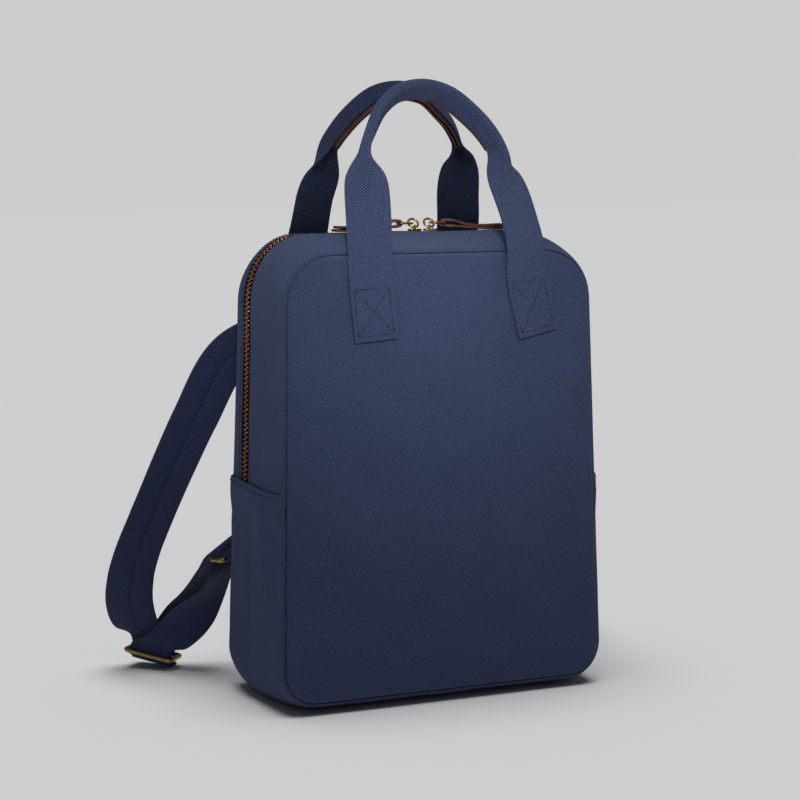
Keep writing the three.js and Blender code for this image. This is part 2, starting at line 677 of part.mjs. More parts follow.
function buildPull(name, side) {
  const base = topCrest - CHAIN_BELOW_CANVAS + GAP;
  const x = PULLS_MEET + side * (SLIDER_LENGTH + SLIDERS_APART) / 2;
  const face = base + SLIDER;
  const plate = new THREE.Shape();
  const nose = SLIDER_WIDTH / 2;
  plate.moveTo(-SLIDER_LENGTH / 2, -nose * 0.7);
  plate.lineTo(SLIDER_LENGTH / 2 - nose * 0.4, -nose);
  plate.absarc(SLIDER_LENGTH / 2 - nose * 0.8, 0, nose, -Math.PI / 2.6, Math.PI / 2.6, false);
  plate.lineTo(SLIDER_LENGTH / 2 - nose * 0.4, nose);
  plate.lineTo(-SLIDER_LENGTH / 2, nose * 0.7);
  plate.closePath();
  const plateSolid = new THREE.ExtrudeGeometry(plate,
    { depth: SLIDER, bevelEnabled: false, curveSegments: 4 });
  const bridge = new THREE.TorusGeometry(BRIDGE_RADIUS, BRIDGE_WIRE / 2, 6, 12);
  bridge.rotateY(Math.PI / 2);
  bridge.translate(0, 0, SLIDER);
  const slider = fromSolid(toSolid(plateSolid).add(
    toSolid(bridge).trimByPlane([0, 0, 1], SLIDER - BRIDGE_SINK)));
  if (side < 0) slider.rotateZ(Math.PI);
  slider.translate(x, ZIP_BACK, base);
  addPart("slider_" + name, slider, "brass");

  const ringWire = PULL_RING_WIRE / 2;
  const ringX = x + side * PULL_RING_FORWARD;
  const ringFoot = face + BRIDGE_RADIUS - BRIDGE_WIRE / 2 - ringWire - GAP / 2;
  const ringCentre = vec(ringX, ZIP_BACK, ringFoot + PULL_RING_RADIUS);
  addPart("pull_ring_" + name, closedRod(
    circleRoute(ringCentre, PULL_RING_RADIUS, 14, (a, b) => vec(a, 0, b)),
    PULL_RING_WIRE, 6), "brass");

  const linkHalf = PULL_LINK_LENGTH / 2 - PULL_LINK_WIRE / 2;
  const linkWide = PULL_LINK_WIDTH / 2 - PULL_LINK_WIRE / 2;
  const linkNear = PULL_RING_RADIUS - ringWire - PULL_LINK_WIRE / 2 - GAP;
  const linkCentre = vec(ringX + side * (linkNear + linkHalf), ZIP_BACK, ringCentre.z);
  addPart("pull_link_" + name, closedRod(
    roundedLoop(linkHalf, linkWide, PULL_LINK_CORNER, (a, b) => linkCentre.clone().add(vec(a, b, 0))),
    PULL_LINK_WIRE, 6), "brass");

  // The leather's route, from the end of its upper layer round the link to the end of the lower
  // one: along as shares of the pull's length, height from the link's bar or from the chain.
  const loop = PULL_LINK_WIRE / 2 + GAP + LEATHER / 2;
  const eye = vec(linkCentre.x + side * linkHalf, ZIP_BACK, linkCentre.z);
  const rest = base + LEATHER / 2 + GAP - eye.z;
  const upper = [
    { along: 0.9, height: rest + LEATHER * 1.9 },
    { along: 0.6, height: rest + LEATHER * 1.7 },
    { along: 0.3, height: mix(loop, rest + LEATHER * 1.6, 0.5) },
    { along: 0.1, height: loop * 0.9 },
    { along: 0, height: loop },
  ];
  const bow = [135, 180, 225].map((angle) => ({
    along: (loop / PULL_LENGTH) * Math.cos(radians(angle)),
    height: loop * Math.sin(radians(angle)),
  }));
  const lower = [
    { along: 0, height: -loop },
    { along: 0.12, height: -loop * 1.25 },
    { along: 0.35, height: mix(-loop, rest, 0.6) },
    { along: 0.65, height: rest },
    { along: 1, height: rest },
  ];
  const route = [...upper, ...bow, ...lower].map((row) =>
    vec(eye.x + side * row.along * PULL_LENGTH, ZIP_BACK, eye.z + row.height));
  // The leather narrows to the straight stretch of the link.
  const narrow = 2 * (linkWide - PULL_LINK_CORNER);
  const widthAt = (at) =>
    mix(narrow, PULL_WIDTH, smooth((Math.abs(at.x - eye.x) - loop) / PULL_NARROWS));
  addPart("pull_leather_" + name, strip(route.map((at) => (
    { at, across: vec(0, 1, 0), width: widthAt(at) })), PULL_WIDTH, LEATHER), "leather");
}

// A flat strip along stations that each hold a place and the direction across the strip. Where
// a bar holds the strip (held = 1), it lies along the bar; where free, it is square to its run.
function strip(stations, width, thick, crease = 0) {
  const curve = stations.map((s) => s.at);
  const top = [];
  const bottom = [];
  stations.forEach((station, i) => {
    const before = curve[Math.max(i - 1, 0)];
    const after = curve[Math.min(i + 1, curve.length - 1)];
    const along = after.clone().sub(before).normalize();
    const across = station.across.clone();
    across.addScaledVector(along, -across.dot(along) * (1 - (station.held ?? 0))).normalize();
    const up = across.clone().cross(along).normalize();
    const shares = crease ? [-0.5, 0, 0.5] : [-0.5, 0.5];
    const row = (sign) => shares.map((share) => station.at.clone()
      .addScaledVector(across, share * (station.width ?? width))
      .addScaledVector(up, sign * (thick / 2) + (share === 0 ? crease : 0)));
    top.push(row(1));
    bottom.push(row(-1));
  });
  return sheet(top, bottom);
}

// More stations between the ones given, on smooth curves.
function refine(stations, steps) {
  const places = new THREE.CatmullRomCurve3(stations.map((s) => s.at), false, "centripetal");
  const last = stations.length - 1;
  return Array.from({ length: last * steps + 1 }, (_, i) => {
    const share = i / (last * steps);
    const low = Math.min(Math.floor(i / steps), last - 1);
    const part = i / steps - low;
    return {
      at: places.getPoint(share),
      across: stations[low].across.clone().lerp(stations[low + 1].across, part),
      held: mix(stations[low].held ?? 0, stations[low + 1].held ?? 0, part),
      width: mix(stations[low].width ?? WEBBING_WIDTH, stations[low + 1].width ?? WEBBING_WIDTH, part),
    };
  });
}

// The tri-glide's own directions: along its bars, out to its front bar, and up.
const glideCentre =
  vec(-halfWidthAt(GLIDE_HEIGHT) - GLIDE_PAST_EDGE, GLIDE_BACK, GLIDE_HEIGHT);
const glideAlong = vec(
  Math.cos(radians(GLIDE_TURN)) * Math.cos(radians(GLIDE_TILT)),
  -Math.sin(radians(GLIDE_TURN)) * Math.cos(radians(GLIDE_TILT)),
  -Math.sin(radians(GLIDE_TILT)),
);
const glideOut = glideAlong.clone().cross(vec(0, 0, 1)).normalize();
const glideUp = glideOut.clone().cross(glideAlong).normalize();
const glidePoint = (along, out, up) => glideCentre.clone().addScaledVector(glideAlong, along)
  .addScaledVector(glideOut, out).addScaledVector(glideUp, up);

// The ring's directions: along its long bars, and from the webbing's bar to the tab's bar.
const ringAlong = vec(0.81, 0.48, 0.34).normalize();
const ringIn = vec(0.5, -0.86, 0.03);
ringIn.addScaledVector(ringAlong, -ringIn.dot(ringAlong)).normalize();
const ringUp = ringAlong.clone().cross(ringIn).normalize();
const ringBar = vec(RING_INSIDE_EDGE - halfWidthAt(RING_UP), RING_BACK, RING_UP);

function roundedLoop(halfLong, halfWide, corner, place) {
  const route = [];
  const corners = [[1, 1], [-1, 1], [-1, -1], [1, -1]];
  corners.forEach(([a, b], i) => {
    for (let k = 0; k <= CORNER_STEPS; k++) {
      const angle = (Math.PI / 2) * (i + k / CORNER_STEPS);
      route.push(place(a * (halfLong - corner) + corner * Math.cos(angle),
        b * (halfWide - corner) + corner * Math.sin(angle)));
    }
  });
  return route;
}

// The strap's free run: across as shares of the reach, back as shares of the stand-off past the
// back seam, up as shares of the anchor's height, and the direction across the strap: its outer
// edge is up by droop and turned back by swing, both in degrees.
const STRAP_ROUTE = [
  { across: 0.225, back: 0.13, up: 0.94, droop: 50, swing: 0 },
  { across: 0.31, back: 0.155, up: 0.91, droop: 56, swing: 0 },
  { across: 0.436, back: 0.22, up: 0.87, droop: 54, swing: 0 },
  { across: 0.631, back: 0.34, up: 0.814, droop: 38, swing: 0 },
  { across: 0.781, back: 0.43, up: 0.656, droop: 21, swing: 0 },
  { across: 0.849, back: 0.525, up: 0.553, droop: 16, swing: -3 },
  { across: 0.908, back: 0.625, up: 0.454, droop: 12, swing: -5 },
  { across: 0.948, back: 0.716, up: 0.379, droop: 8, swing: -3 },
  { across: 0.977, back: 0.798, up: 0.318, droop: 5, swing: 0 },
  { across: 0.998, back: 0.894, up: 0.241, droop: 4, swing: 6 },
  { across: 0.991, back: 0.973, up: 0.169, droop: 6, swing: 18 },
  { across: 0.95, back: 1.02, up: 0.108, droop: 8, swing: 34, held: 0.6 },
];
const STRAP_SEWN = 12; // length of the strap's end on the panel
const STRAP_SLANT = 37; // degrees, droop of the sewn end

function acrossStrap(droop, swing) {
  const level = Math.cos(radians(droop));
  return vec(level * Math.cos(radians(swing)), -level * Math.sin(radians(swing)),
    -Math.sin(radians(droop)));
}

const backFace = (x, z) => halfDepthAt(z) + panelOut(x, z, PANEL_PUFF_BACK) + GAP;

function buildStrap() {
  const slant = acrossStrap(STRAP_SLANT, 0);
  const sewn = [0, STRAP_SEWN].map((along) => {
    const x = -STRAP_ANCHOR_ACROSS - along * Math.sin(radians(STRAP_SLANT));
    const z = STRAP_ANCHOR_HEIGHT - along * Math.cos(radians(STRAP_SLANT));
    return { at: vec(x, backFace(0, z) + STRAP / 2 + 2 * GAP, z), across: slant, width: STRAP_WIDTH };
  });
  const reach = PANEL_WIDTH_TOP / 2 + STRAP_PAST_EDGE;
  const free = STRAP_ROUTE.map((row) => {
    const z = row.up * STRAP_ANCHOR_HEIGHT;
    const y = halfDepthAt(z) + row.back * STRAP_STAND_OFF;
    return {
      at: vec(-row.across * reach, y, z),
      across: acrossStrap(row.droop, row.swing),
      held: row.held,
      width: STRAP_WIDTH,
    };
  });
  const inGlide = 4.6;
  const turn = 8.2;
  const passing = [[-4, -1.5, 13], [0, -0.4, 5], [0, 0, -2], [0, -2.2, -turn + 1.6],
    [0, -6, -turn], [0, -GLIDE_HALF_DEPTH - 6.6, -turn]].map(([along, out, up]) => ({
    at: glidePoint(along, inGlide + out, up),
    across: glideAlong,
    held: 1,
    width: WEBBING_WIDTH,
  }));
  const run = [sewn[0], ...refine([sewn[1], ...free], 2), ...passing];
  const geometry = strip(run, STRAP_WIDTH, STRAP, STRAP_CREASE);
  addPart("shoulder_strap_left", geometry, "strap");
  addPart("shoulder_strap_right", mirrored(geometry), "strap");
}

// The two layers of the lower webbing between tri-glide and ring: along the straight line
// between them, and off it to the side and the back as shares of the slack.
const NEAR_LAYER = [
  { along: 0.14, side: -0.06, back: -0.95 },
  { along: 0.33, side: 0.49, back: -0.98 },
  { along: 0.59, side: 0.74, back: -0.86 },
  { along: 0.8, side: 0.48, back: -0.68 },
];
const FAR_LAYER = [
  { along: 0.86, side: -0.1, back: 0.61 },
  { along: 0.65, side: 0.31, back: 0.84 },
  { along: 0.44, side: 0.78, back: 0.83 },
  { along: 0.23, side: 0.86, back: 0.81 },
  { along: 0.11, side: 0.6, back: 0.66 },
];

// Places round a bar, at a radius, from the angles given: 0 is the bar's underside, 90 the side
// towards the bag.
function roundBar(bar, radius, angles) {
  return angles.map((degrees) => ({
    at: bar.clone().addScaledVector(ringUp, radius * Math.cos(radians(degrees)))
      .addScaledVector(ringIn, radius * Math.sin(radians(degrees))),
    across: ringAlong,
    held: 1,
  }));
}

function buildLowerWebbing() {
  const between = (row) => ({
    at: glideCentre.clone().lerp(ringBar, row.along)
      .add(vec(row.side * LOOP_SLACK, row.back * LOOP_SLACK, 0)),
    across: glideAlong.clone().lerp(ringAlong, smooth(row.along * 1.15)),
    held: Math.max(0, 1 - 2.2 * Math.min(row.along, 1 - row.along)),
  });
  const nearSlot = GLIDE_HALF_DEPTH - WIRE / 2 - GAP - WEBBING / 2;
  const farSlot = -(WIRE / 2 + GAP + WEBBING / 2);
  const wrap = WIRE / 2 + GAP + WEBBING / 2;
  const inSlot = (out, up) => ({ at: glidePoint(0, out, up), across: glideAlong, held: 1 });
  const near = [inSlot(nearSlot, 0), inSlot(nearSlot - 0.4, 5), ...NEAR_LAYER.map(between)];
  const far = [...FAR_LAYER.map(between), inSlot(farSlot, 5), inSlot(farSlot, -2)];
  const geometry = strip([
    inSlot(nearSlot, -4),
    ...refine(near, 2),
    ...roundBar(ringBar, wrap + 0.2, [-15, 30, 75, 120, 165, 205]),
    ...refine(far, 2),
  ], WEBBING_WIDTH, WEBBING);
  addPart("lower_webbing_left", geometry, "webbing");
  addPart("lower_webbing_right", mirrored(geometry), "webbing");
}

function buildHardware() {
  const frame = closedRod(roundedLoop(GLIDE_LENGTH / 2, GLIDE_HALF_DEPTH, HARDWARE_CORNER,
    (a, b) => glidePoint(a, b, 0)), WIRE, 6);
  const bar = new THREE.CylinderGeometry(WIRE / 2, WIRE / 2, GLIDE_LENGTH, 6);
  bar.applyQuaternion(new THREE.Quaternion().setFromUnitVectors(vec(0, 1, 0), glideAlong));
  bar.translate(glideCentre.x, glideCentre.y, glideCentre.z);
  const glide = fromSolid(toSolid(frame).add(toSolid(bar)));
  addPart("tri_glide_left", glide, "brass");
  addPart("tri_glide_right", mirrored(glide), "brass");

  const centre = ringBar.clone().addScaledVector(ringIn, RING_HEIGHT / 2);
  const ring = closedRod(roundedLoop(RING_LENGTH / 2, RING_HEIGHT / 2, HARDWARE_CORNER, (a, b) =>
    centre.clone().addScaledVector(ringAlong, a).addScaledVector(ringIn, b)), WIRE, 6);
  addPart("strap_ring_left", ring, "brass");
  addPart("strap_ring_right", mirrored(ring), "brass");
}

// A doubled strip of webbing: an eye round the ring's bar and a stem sewn to the back panel.
function buildTab() {
  const bar = ringBar.clone().addScaledVector(ringIn, RING_HEIGHT);
  const wrap = WIRE / 2 + GAP + WEBBING / 2;
  const round = roundBar(bar, 1, Array.from({ length: EYE_SIDES }, (_, i) => (360 * i) / EYE_SIDES));
  const eyeFace = (radius) => round.map((place) => {
    const out = place.at.clone().sub(bar);
    return [-0.5, 0.5].map((share) => bar.clone().addScaledVector(out, radius)
      .addScaledVector(ringAlong, share * TAB_WIDTH));
  });
  const eye = sheet(eyeFace(wrap + WEBBING / 2), eyeFace(wrap - WEBBING / 2), true);
  const doubled = 2 * WEBBING;
  const face = (x, z) => backFace(x, z) + doubled / 2;
  const onPanel = vec(0.91, 0, 0.41);
  const turning = ringAlong.clone().lerp(onPanel, 0.75);
  const place = (x, out, z, across) => ({ at: vec(x, face(x, z) + out, z), across });
  const foot = bar.x + TAB_LENGTH / 2;
  const stem = strip([
    { at: bar.clone().addScaledVector(ringIn, wrap), across: ringAlong },
    { at: bar.clone().addScaledVector(ringIn, wrap + TAB_NECK), across: ringAlong },
    place(mix(bar.x, foot, 0.5), 5.2, bar.z - 3, turning),
    place(mix(bar.x, foot, 0.66), 0.8, bar.z - 0.28 * TAB_LENGTH, onPanel),
    place(foot, 0.4, bar.z - 0.62 * TAB_LENGTH, onPanel),
  ], TAB_WIDTH, doubled);
  const geometry = fromSolid(toSolid(eye).add(toSolid(stem)));
  addPart("ring_tab_left", geometry, "webbing");
  addPart("ring_tab_right", mirrored(geometry), "webbing");
}

buildPanel("front_panel", -1, PANEL_PUFF_FRONT);
buildPanel("back_panel", 1, PANEL_PUFF_BACK);
buildZipGusset();
buildZip();
buildBaseGusset();
buildHandle("front", FRONT_HANDLE, FRONT_FEET, -1, PANEL_PUFF_FRONT);
buildHandle("back", BACK_HANDLE, BACK_FEET, 1, PANEL_PUFF_BACK);
buildPull("left", -1);
buildPull("right", 1);
buildStrap();
buildLowerWebbing();
buildHardware();
buildTab();

export default root;
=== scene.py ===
# %% [markdown]
# # A canvas tote backpack, rebuilt in Blender
# The solids of the bag come from its CAD model, which fixes where everything is. This lesson
# dresses them: each cloth piece is woven again as a fine surface, the zip gets its teeth and the
# seams get their thread.

# %% Load the frame
import json
import math

import bmesh
import bpy
import numpy as np
from mathutils import Matrix, Vector, noise

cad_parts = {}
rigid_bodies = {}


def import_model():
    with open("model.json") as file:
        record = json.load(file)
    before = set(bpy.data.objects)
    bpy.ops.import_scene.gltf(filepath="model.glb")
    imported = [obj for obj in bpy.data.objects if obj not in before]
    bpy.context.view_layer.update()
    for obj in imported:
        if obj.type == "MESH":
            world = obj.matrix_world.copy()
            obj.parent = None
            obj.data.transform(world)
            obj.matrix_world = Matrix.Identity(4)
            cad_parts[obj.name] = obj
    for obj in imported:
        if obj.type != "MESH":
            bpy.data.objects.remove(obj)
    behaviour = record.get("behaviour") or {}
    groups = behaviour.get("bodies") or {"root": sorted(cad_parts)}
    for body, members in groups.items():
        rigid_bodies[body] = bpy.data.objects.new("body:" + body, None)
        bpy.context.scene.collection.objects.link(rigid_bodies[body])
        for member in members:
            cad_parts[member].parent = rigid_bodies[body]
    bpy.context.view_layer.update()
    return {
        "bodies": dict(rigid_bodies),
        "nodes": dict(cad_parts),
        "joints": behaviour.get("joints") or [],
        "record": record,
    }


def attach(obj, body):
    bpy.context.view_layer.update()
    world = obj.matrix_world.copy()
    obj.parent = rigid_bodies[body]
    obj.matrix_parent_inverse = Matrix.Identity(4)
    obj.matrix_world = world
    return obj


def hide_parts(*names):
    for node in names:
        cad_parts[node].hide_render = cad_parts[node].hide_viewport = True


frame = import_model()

MM = 0.001
print("CAD nodes:", len(frame["nodes"]))

# %% [markdown]
# ## The camera
# The photograph is taken from the bag's left front corner, a little above it, with a long lens.
# Its place was solved from the bag's corners, so the model can be laid over the photograph.

# %% Camera
LENS_MM, SENSOR_MM = 98.86, 36
CAMERA_PLACE = (-0.7997, -1.6886, 0.4687)
LOOKS_DOWN, TURNED = 6.73, -24.94

camera_data = bpy.data.cameras.new("photo_camera")
camera_data.lens = LENS_MM
camera_data.sensor_width = SENSOR_MM
camera = bpy.data.objects.new("photo_camera", camera_data)
camera.location = CAMERA_PLACE
camera.rotation_euler = (math.radians(90 - LOOKS_DOWN), 0, math.radians(TURNED))
bpy.context.scene.collection.objects.link(camera)
bpy.context.scene.camera = camera
bpy.context.scene.view_settings.view_transform = "Standard"
print("camera at", CAMERA_PLACE)

# %% [markdown]
# ## Colours
# Colours are picked as sRGB hex values, the way a colour chart gives them. Shaders work in linear
# light, so one function converts them.


# %% Colour and node helpers
def linear(hex_colour):
    """The sRGB standard's own curve, with its short straight part near black."""
    parts = [int(hex_colour[i:i + 2], 16) / 255 for i in (0, 2, 4)]
    return (*(p / 12.92 if p <= 0.04045 else ((p + 0.055) / 1.055) ** 2.4 for p in parts), 1)


def add(tree, kind, inputs=None, **settings):
    """Adds a node, sets its settings, and links or sets its inputs."""
    made = tree.nodes.new(kind)
    for key, value in settings.items():
        setattr(made, key, value)
    for socket, value in (inputs or {}).items():
        if isinstance(value, bpy.types.NodeSocket):
            tree.links.new(value, made.inputs[socket])
        else:
            made.inputs[socket].default_value = value
    return made


def new_material(name):
    material = bpy.data.materials.new(name)
    material.use_nodes = True
    shader = material.node_tree.nodes["Principled BSDF"]
    return material, material.node_tree, shader


print("linear value of mid grey:", round(linear("808080")[0], 3))

# %% [markdown]
# ## Light
# A studio cove gives even light on the ground. Two softboxes and a soft spot light the top of the
# bag more than its foot. One set of lamps can't do both, so light linking says which lamp lights
# what: each lamp has a collection of the things that receive it.

# %% World and lights
COVE_GREY = "cdcdcd"
world = bpy.data.worlds.new("studio")
bpy.context.scene.world = world
world.use_nodes = True
tree = world.node_tree
tree.nodes.clear()
ambient = add(tree, "ShaderNodeBackground", {"Color": linear("e2e8f2"), "Strength": 0.16})
cove = add(tree, "ShaderNodeBackground", {"Color": linear(COVE_GREY), "Strength": 1.0})
path = add(tree, "ShaderNodeLightPath")
blend = add(tree, "ShaderNodeMixShader",
            {0: path.outputs["Is Camera Ray"], 1: ambient.outputs[0], 2: cove.outputs[0]})
add(tree, "ShaderNodeOutputWorld", {"Surface": blend.outputs[0]})

on_ground = bpy.data.collections.new("lit_by_the_cove")
on_bag = bpy.data.collections.new("lit_by_the_softboxes")
under_spot = bpy.data.collections.new("lit_by_the_spot")


def new_light(name, kind, place, aim, energy, receivers, **settings):
    data = bpy.data.lights.new(name, kind)
    data.energy = energy
    for key, value in settings.items():
        setattr(data, key, value)
    lamp = bpy.data.objects.new(name, data)
    lamp.location = place
    lamp.rotation_euler = (Vector(aim) - Vector(place)).to_track_quat("-Z", "Y").to_euler()
    lamp.light_linking.receiver_collection = receivers
    bpy.context.scene.collection.objects.link(lamp)


new_light("cove_light", "SUN", (0, 0, 3), (0.1, 0.1, 0), 2.87, on_ground,
          angle=math.radians(40))
new_light("overhead_softbox", "AREA", (0, 0.1, 1.5), (0, 0, 0.2), 4.2, on_bag,
          shape="RECTANGLE", size=1.2, size_y=1.2)
new_light("front_softbox", "AREA", (-0.2, -1.1, 1.2), (0, 0, 0.3), 2.6, on_bag,
          shape="RECTANGLE", size=0.8, size_y=0.6)
new_light("top_spot", "SPOT", (-0.5, -1.2, 0.9), (-0.02, -0.05, 0.385), 78, under_spot,
          spot_size=math.radians(18), spot_blend=1.0, shadow_soft_size=0.15)
print("lamps:", len(bpy.data.lights))

# %% [markdown]
# ## Ground
# One wide pale sheet. It isn't part of the bag, so of the lamps only the cove light lights it.

# %% Ground
GROUND_HALF_WIDTH = 12  # metres
bm = bmesh.new()
bmesh.ops.create_grid(bm, x_segments=1, y_segments=1, size=GROUND_HALF_WIDTH)
ground_mesh = bpy.data.meshes.new("ground")
bm.to_mesh(ground_mesh)
bm.free()
ground = bpy.data.objects.new("ground", ground_mesh)
bpy.context.scene.collection.objects.link(ground)
# Matt painted board: an even pale grey with no gloss at all.
material, _, shader = new_material("matt_painted_board")
shader.inputs["Base Color"].default_value = linear("cbcbcb")
shader.inputs["Roughness"].default_value = 1
shader.inputs["Specular IOR Level"].default_value = 0
ground_mesh.materials.append(material)
on_ground.objects.link(ground)
print("ground:", 2 * GROUND_HALF_WIDTH, "m wide")

# %% [markdown]
# ## Canvas and thick webbing
# Canvas is a plain weave: warp and weft pass over each other in a chequer of small domes. The
# product of two sine waves, one along and one across the cloth, has exactly that pattern, so it
# drives both the bump and a slight change of colour that is painted light: a painted highlight on
# the yarn that lies on top, and painted shade in the hollows between. Every cloth piece carries a
# UV map in metres, so the threads have the same size everywhere.


# %% The weave
WANDER = 0.12 * MM  # how far a yarn strays from its line


def maths(tree, operation, a, b=0.0, c=0.0):
    return add(tree, "ShaderNodeMath", {0: a, 1: b, 2: c}, operation=operation).outputs[0]


def cloth_place(tree):
    """A cloth's UV map, and its two parts, across and along, with the yarns straying a little."""
    uv = add(tree, "ShaderNodeUVMap", uv_map="cloth").outputs[0]
    drift = add(tree, "ShaderNodeTexNoise", {"Vector": uv, "Scale": 160.0, "Detail": 2.0})
    shift = add(tree, "ShaderNodeVectorMath", {0: drift.outputs["Color"], 1: (WANDER,) * 3},
                operation="MULTIPLY")
    place = add(tree, "ShaderNodeVectorMath", {0: uv, 1: shift.outputs[0]}, operation="ADD")
    split = add(tree, "ShaderNodeSeparateXYZ", {0: place.outputs[0]})
    return uv, split.outputs[0], split.outputs[1]


def wave(tree, place, length):
    return maths(tree, "SINE", maths(tree, "MULTIPLY", place, 2 * math.pi / length))


def shade(tree, low, high, factor):
    mixed = add(tree, "ShaderNodeMix", {0: factor, 6: linear(low), 7: linear(high)},
                data_type="RGBA")
    return mixed.outputs[2]


def finish_cloth(tree, shader, height, colour, depth_mm, roughness):
    """Cotton: matt, with a weak bluish sheen where fibres stand out from the yarn."""
    bump = add(tree, "ShaderNodeBump",
               {"Height": height, "Distance": depth_mm * MM, "Strength": 1.0})
    tree.links.new(bump.outputs[0], shader.inputs["Normal"])
    tree.links.new(colour, shader.inputs["Base Color"])
    shader.inputs["Roughness"].default_value = roughness
    shader.inputs["Specular IOR Level"].default_value = 0.25
    shader.inputs["Sheen Weight"].default_value = 0.22
    shader.inputs["Sheen Roughness"].default_value = 0.45
    shader.inputs["Sheen Tint"].default_value = linear("9fb0d8")


# Painted shade: the base tone between the yarns is darker than the yarn on top.
HOLLOW_SHADE_TONE, SLUB_TONE = 0.22, 0.55  # tone between the yarns, and what uneven yarn adds to it


def plain_weave(name, low, high, across_mm, along_mm, depth_mm, fade=0.12, yarn_highlight=1.15):
    """Fade: how much patches differ in tone. The last argument is a painted highlight: how much
    lighter the upper yarn is painted.
    """
    material, tree, shader = new_material(name)
    uv, across, along = cloth_place(tree)
    chequer = maths(tree, "MULTIPLY", wave(tree, across, 2 * across_mm * MM),
                    wave(tree, along, 2 * along_mm * MM))
    dome = maths(tree, "POWER", maths(tree, "ABSOLUTE", chequer), 0.5)
    # Washing fades the cloth in soft patches, a few centimetres across.
    patches = add(tree, "ShaderNodeTexNoise", {"Vector": uv, "Scale": 22.0, "Detail": 5.0,
                                               "Roughness": 0.6}).outputs["Fac"]
    slubs = add(tree, "ShaderNodeTexNoise", {"Vector": uv, "Scale": 420.0,
                                             "Detail": 2.0}).outputs["Fac"]
    # Painted highlight: the yarn that lies on top is painted lighter, as though it caught the
    # light.
    tone = maths(tree, "MULTIPLY_ADD", maths(tree, "MAXIMUM", chequer, 0.0), yarn_highlight, HOLLOW_SHADE_TONE)
    tone = maths(tree, "MULTIPLY_ADD", maths(tree, "SUBTRACT", patches, 0.5), fade * 2, tone)
    tone = maths(tree, "MULTIPLY_ADD", maths(tree, "SUBTRACT", slubs, 0.5), SLUB_TONE, tone)
    finish_cloth(tree, shader, dome, shade(tree, low, high, tone), depth_mm, 0.92)
    return material


# Heavy washed cotton canvas, woven plain. The real threads are about 0.8 mm apart, and they are
# drawn 1 mm apart so that the weave still shows in the picture.
canvas = plain_weave("washed_cotton_canvas", "161d33", "4f5c83", 1.0, 1.0, 0.4)
# Cotton webbing for the handles, woven with thicker yarn: about 1.3 mm from yarn to yarn.
handle_webbing = plain_weave("thick_cotton_webbing", "131930", "56628c", 1.4, 1.2, 0.6, 0.06, 0.95)
# Twisted sewing thread, darker than the canvas, so a seam reads as a row of dark beads.
thread = plain_weave("dark_navy_sewing_thread", "0a0e1c", "1e2642", 0.5, 0.5, 0.05)
print("plain weaves:", canvas.name, handle_webbing.name, thread.name)

# %% [markdown]
# ## Herringbone webbing and zip tape
# Twill runs in slanting ribs, and in herringbone they slant both ways from the middle of the band.
# The distance from the middle added to the place along the band is the same all along such a rib,
# so one sine wave of that sum draws them. The straps also have a crease pressed in by wear, and
# painted shade darkens a narrow line along it.


# %% Herringbone
# The crease's tone is painted shade, darkest in the middle of the band.
RIB_TONE, RIB_DEPTH, CREASE_SHADE_TONE = 0.25, 0.12, 0.25


def herringbone(name, low, high, rib_mm, crease_shade_mm=0.0):
    material, tree, shader = new_material(name)
    uv, across, along = cloth_place(tree)
    off_middle = maths(tree, "ABSOLUTE", across)
    rib = wave(tree, maths(tree, "ADD", off_middle, along), rib_mm * MM)
    fleck = add(tree, "ShaderNodeTexNoise", {"Vector": uv, "Scale": 700.0, "Detail": 2.0})
    tone = maths(tree, "MULTIPLY_ADD", rib, RIB_TONE, fleck.outputs["Fac"])
    # Painted shade: the colour darkens towards the middle of the band, along the crease.
    if crease_shade_mm:
        line = add(tree, "ShaderNodeMapRange",
                   {0: off_middle, 2: crease_shade_mm * MM, 3: CREASE_SHADE_TONE, 4: 1.0})
        tone = maths(tree, "MULTIPLY", tone, line.outputs[0])
    finish_cloth(tree, shader, rib, shade(tree, low, high, tone), RIB_DEPTH, 0.85)
    return material


# Herringbone cotton webbing of the shoulder straps: ribs about 1.6 mm apart, drawn at 2 mm, with
# painted shade reaching 1.3 mm from the middle along the crease.
strap_webbing = herringbone("herringbone_cotton_webbing", "0e1226", "3a4268", 2.0, 1.3)
plain_herringbone = herringbone("narrow_herringbone_webbing", "0e1226", "3a4268", 1.6)
# Cotton zip tape, dyed a rust brown, with finer ribs.
zip_tape = herringbone("woven_zip_tape", "38190f", "6e3d26", 1.2)
print("herringbones:", strap_webbing.name, plain_herringbone.name, zip_tape.name)

# %% [markdown]
# ## Leather and brass
# The pulls and the grips' linings are of vegetable tanned leather, which is smooth, a little waxy
# and uneven in tone. Voronoi cells make its pores. The hardware is brass with a dark finish that
# handling has worn off in places, so one noise drives both its colour and its gloss.


# %% Leather and brass
def vegetable_tanned_leather():
    material, tree, shader = new_material("vegetable_tanned_leather")
    place = add(tree, "ShaderNodeTexCoord").outputs["Object"]
    # Pores and creases of the grain side, about 0.9 mm across.
    grain = add(tree, "ShaderNodeTexVoronoi", {"Vector": place, "Scale": 1100.0},
                feature="DISTANCE_TO_EDGE")
    tone = add(tree, "ShaderNodeTexNoise", {"Vector": place, "Scale": 90.0, "Detail": 4.0})
    colour = shade(tree, "33201b", "704636", tone.outputs["Fac"])
    bump = add(tree, "ShaderNodeBump", {"Height": grain.outputs["Distance"],
                                        "Distance": 0.1 * MM, "Strength": 0.5})
    tree.links.new(colour, shader.inputs["Base Color"])
    tree.links.new(bump.outputs[0], shader.inputs["Normal"])
    shader.inputs["Roughness"].default_value = 0.42
    shader.inputs["IOR"].default_value = 1.5
    return material


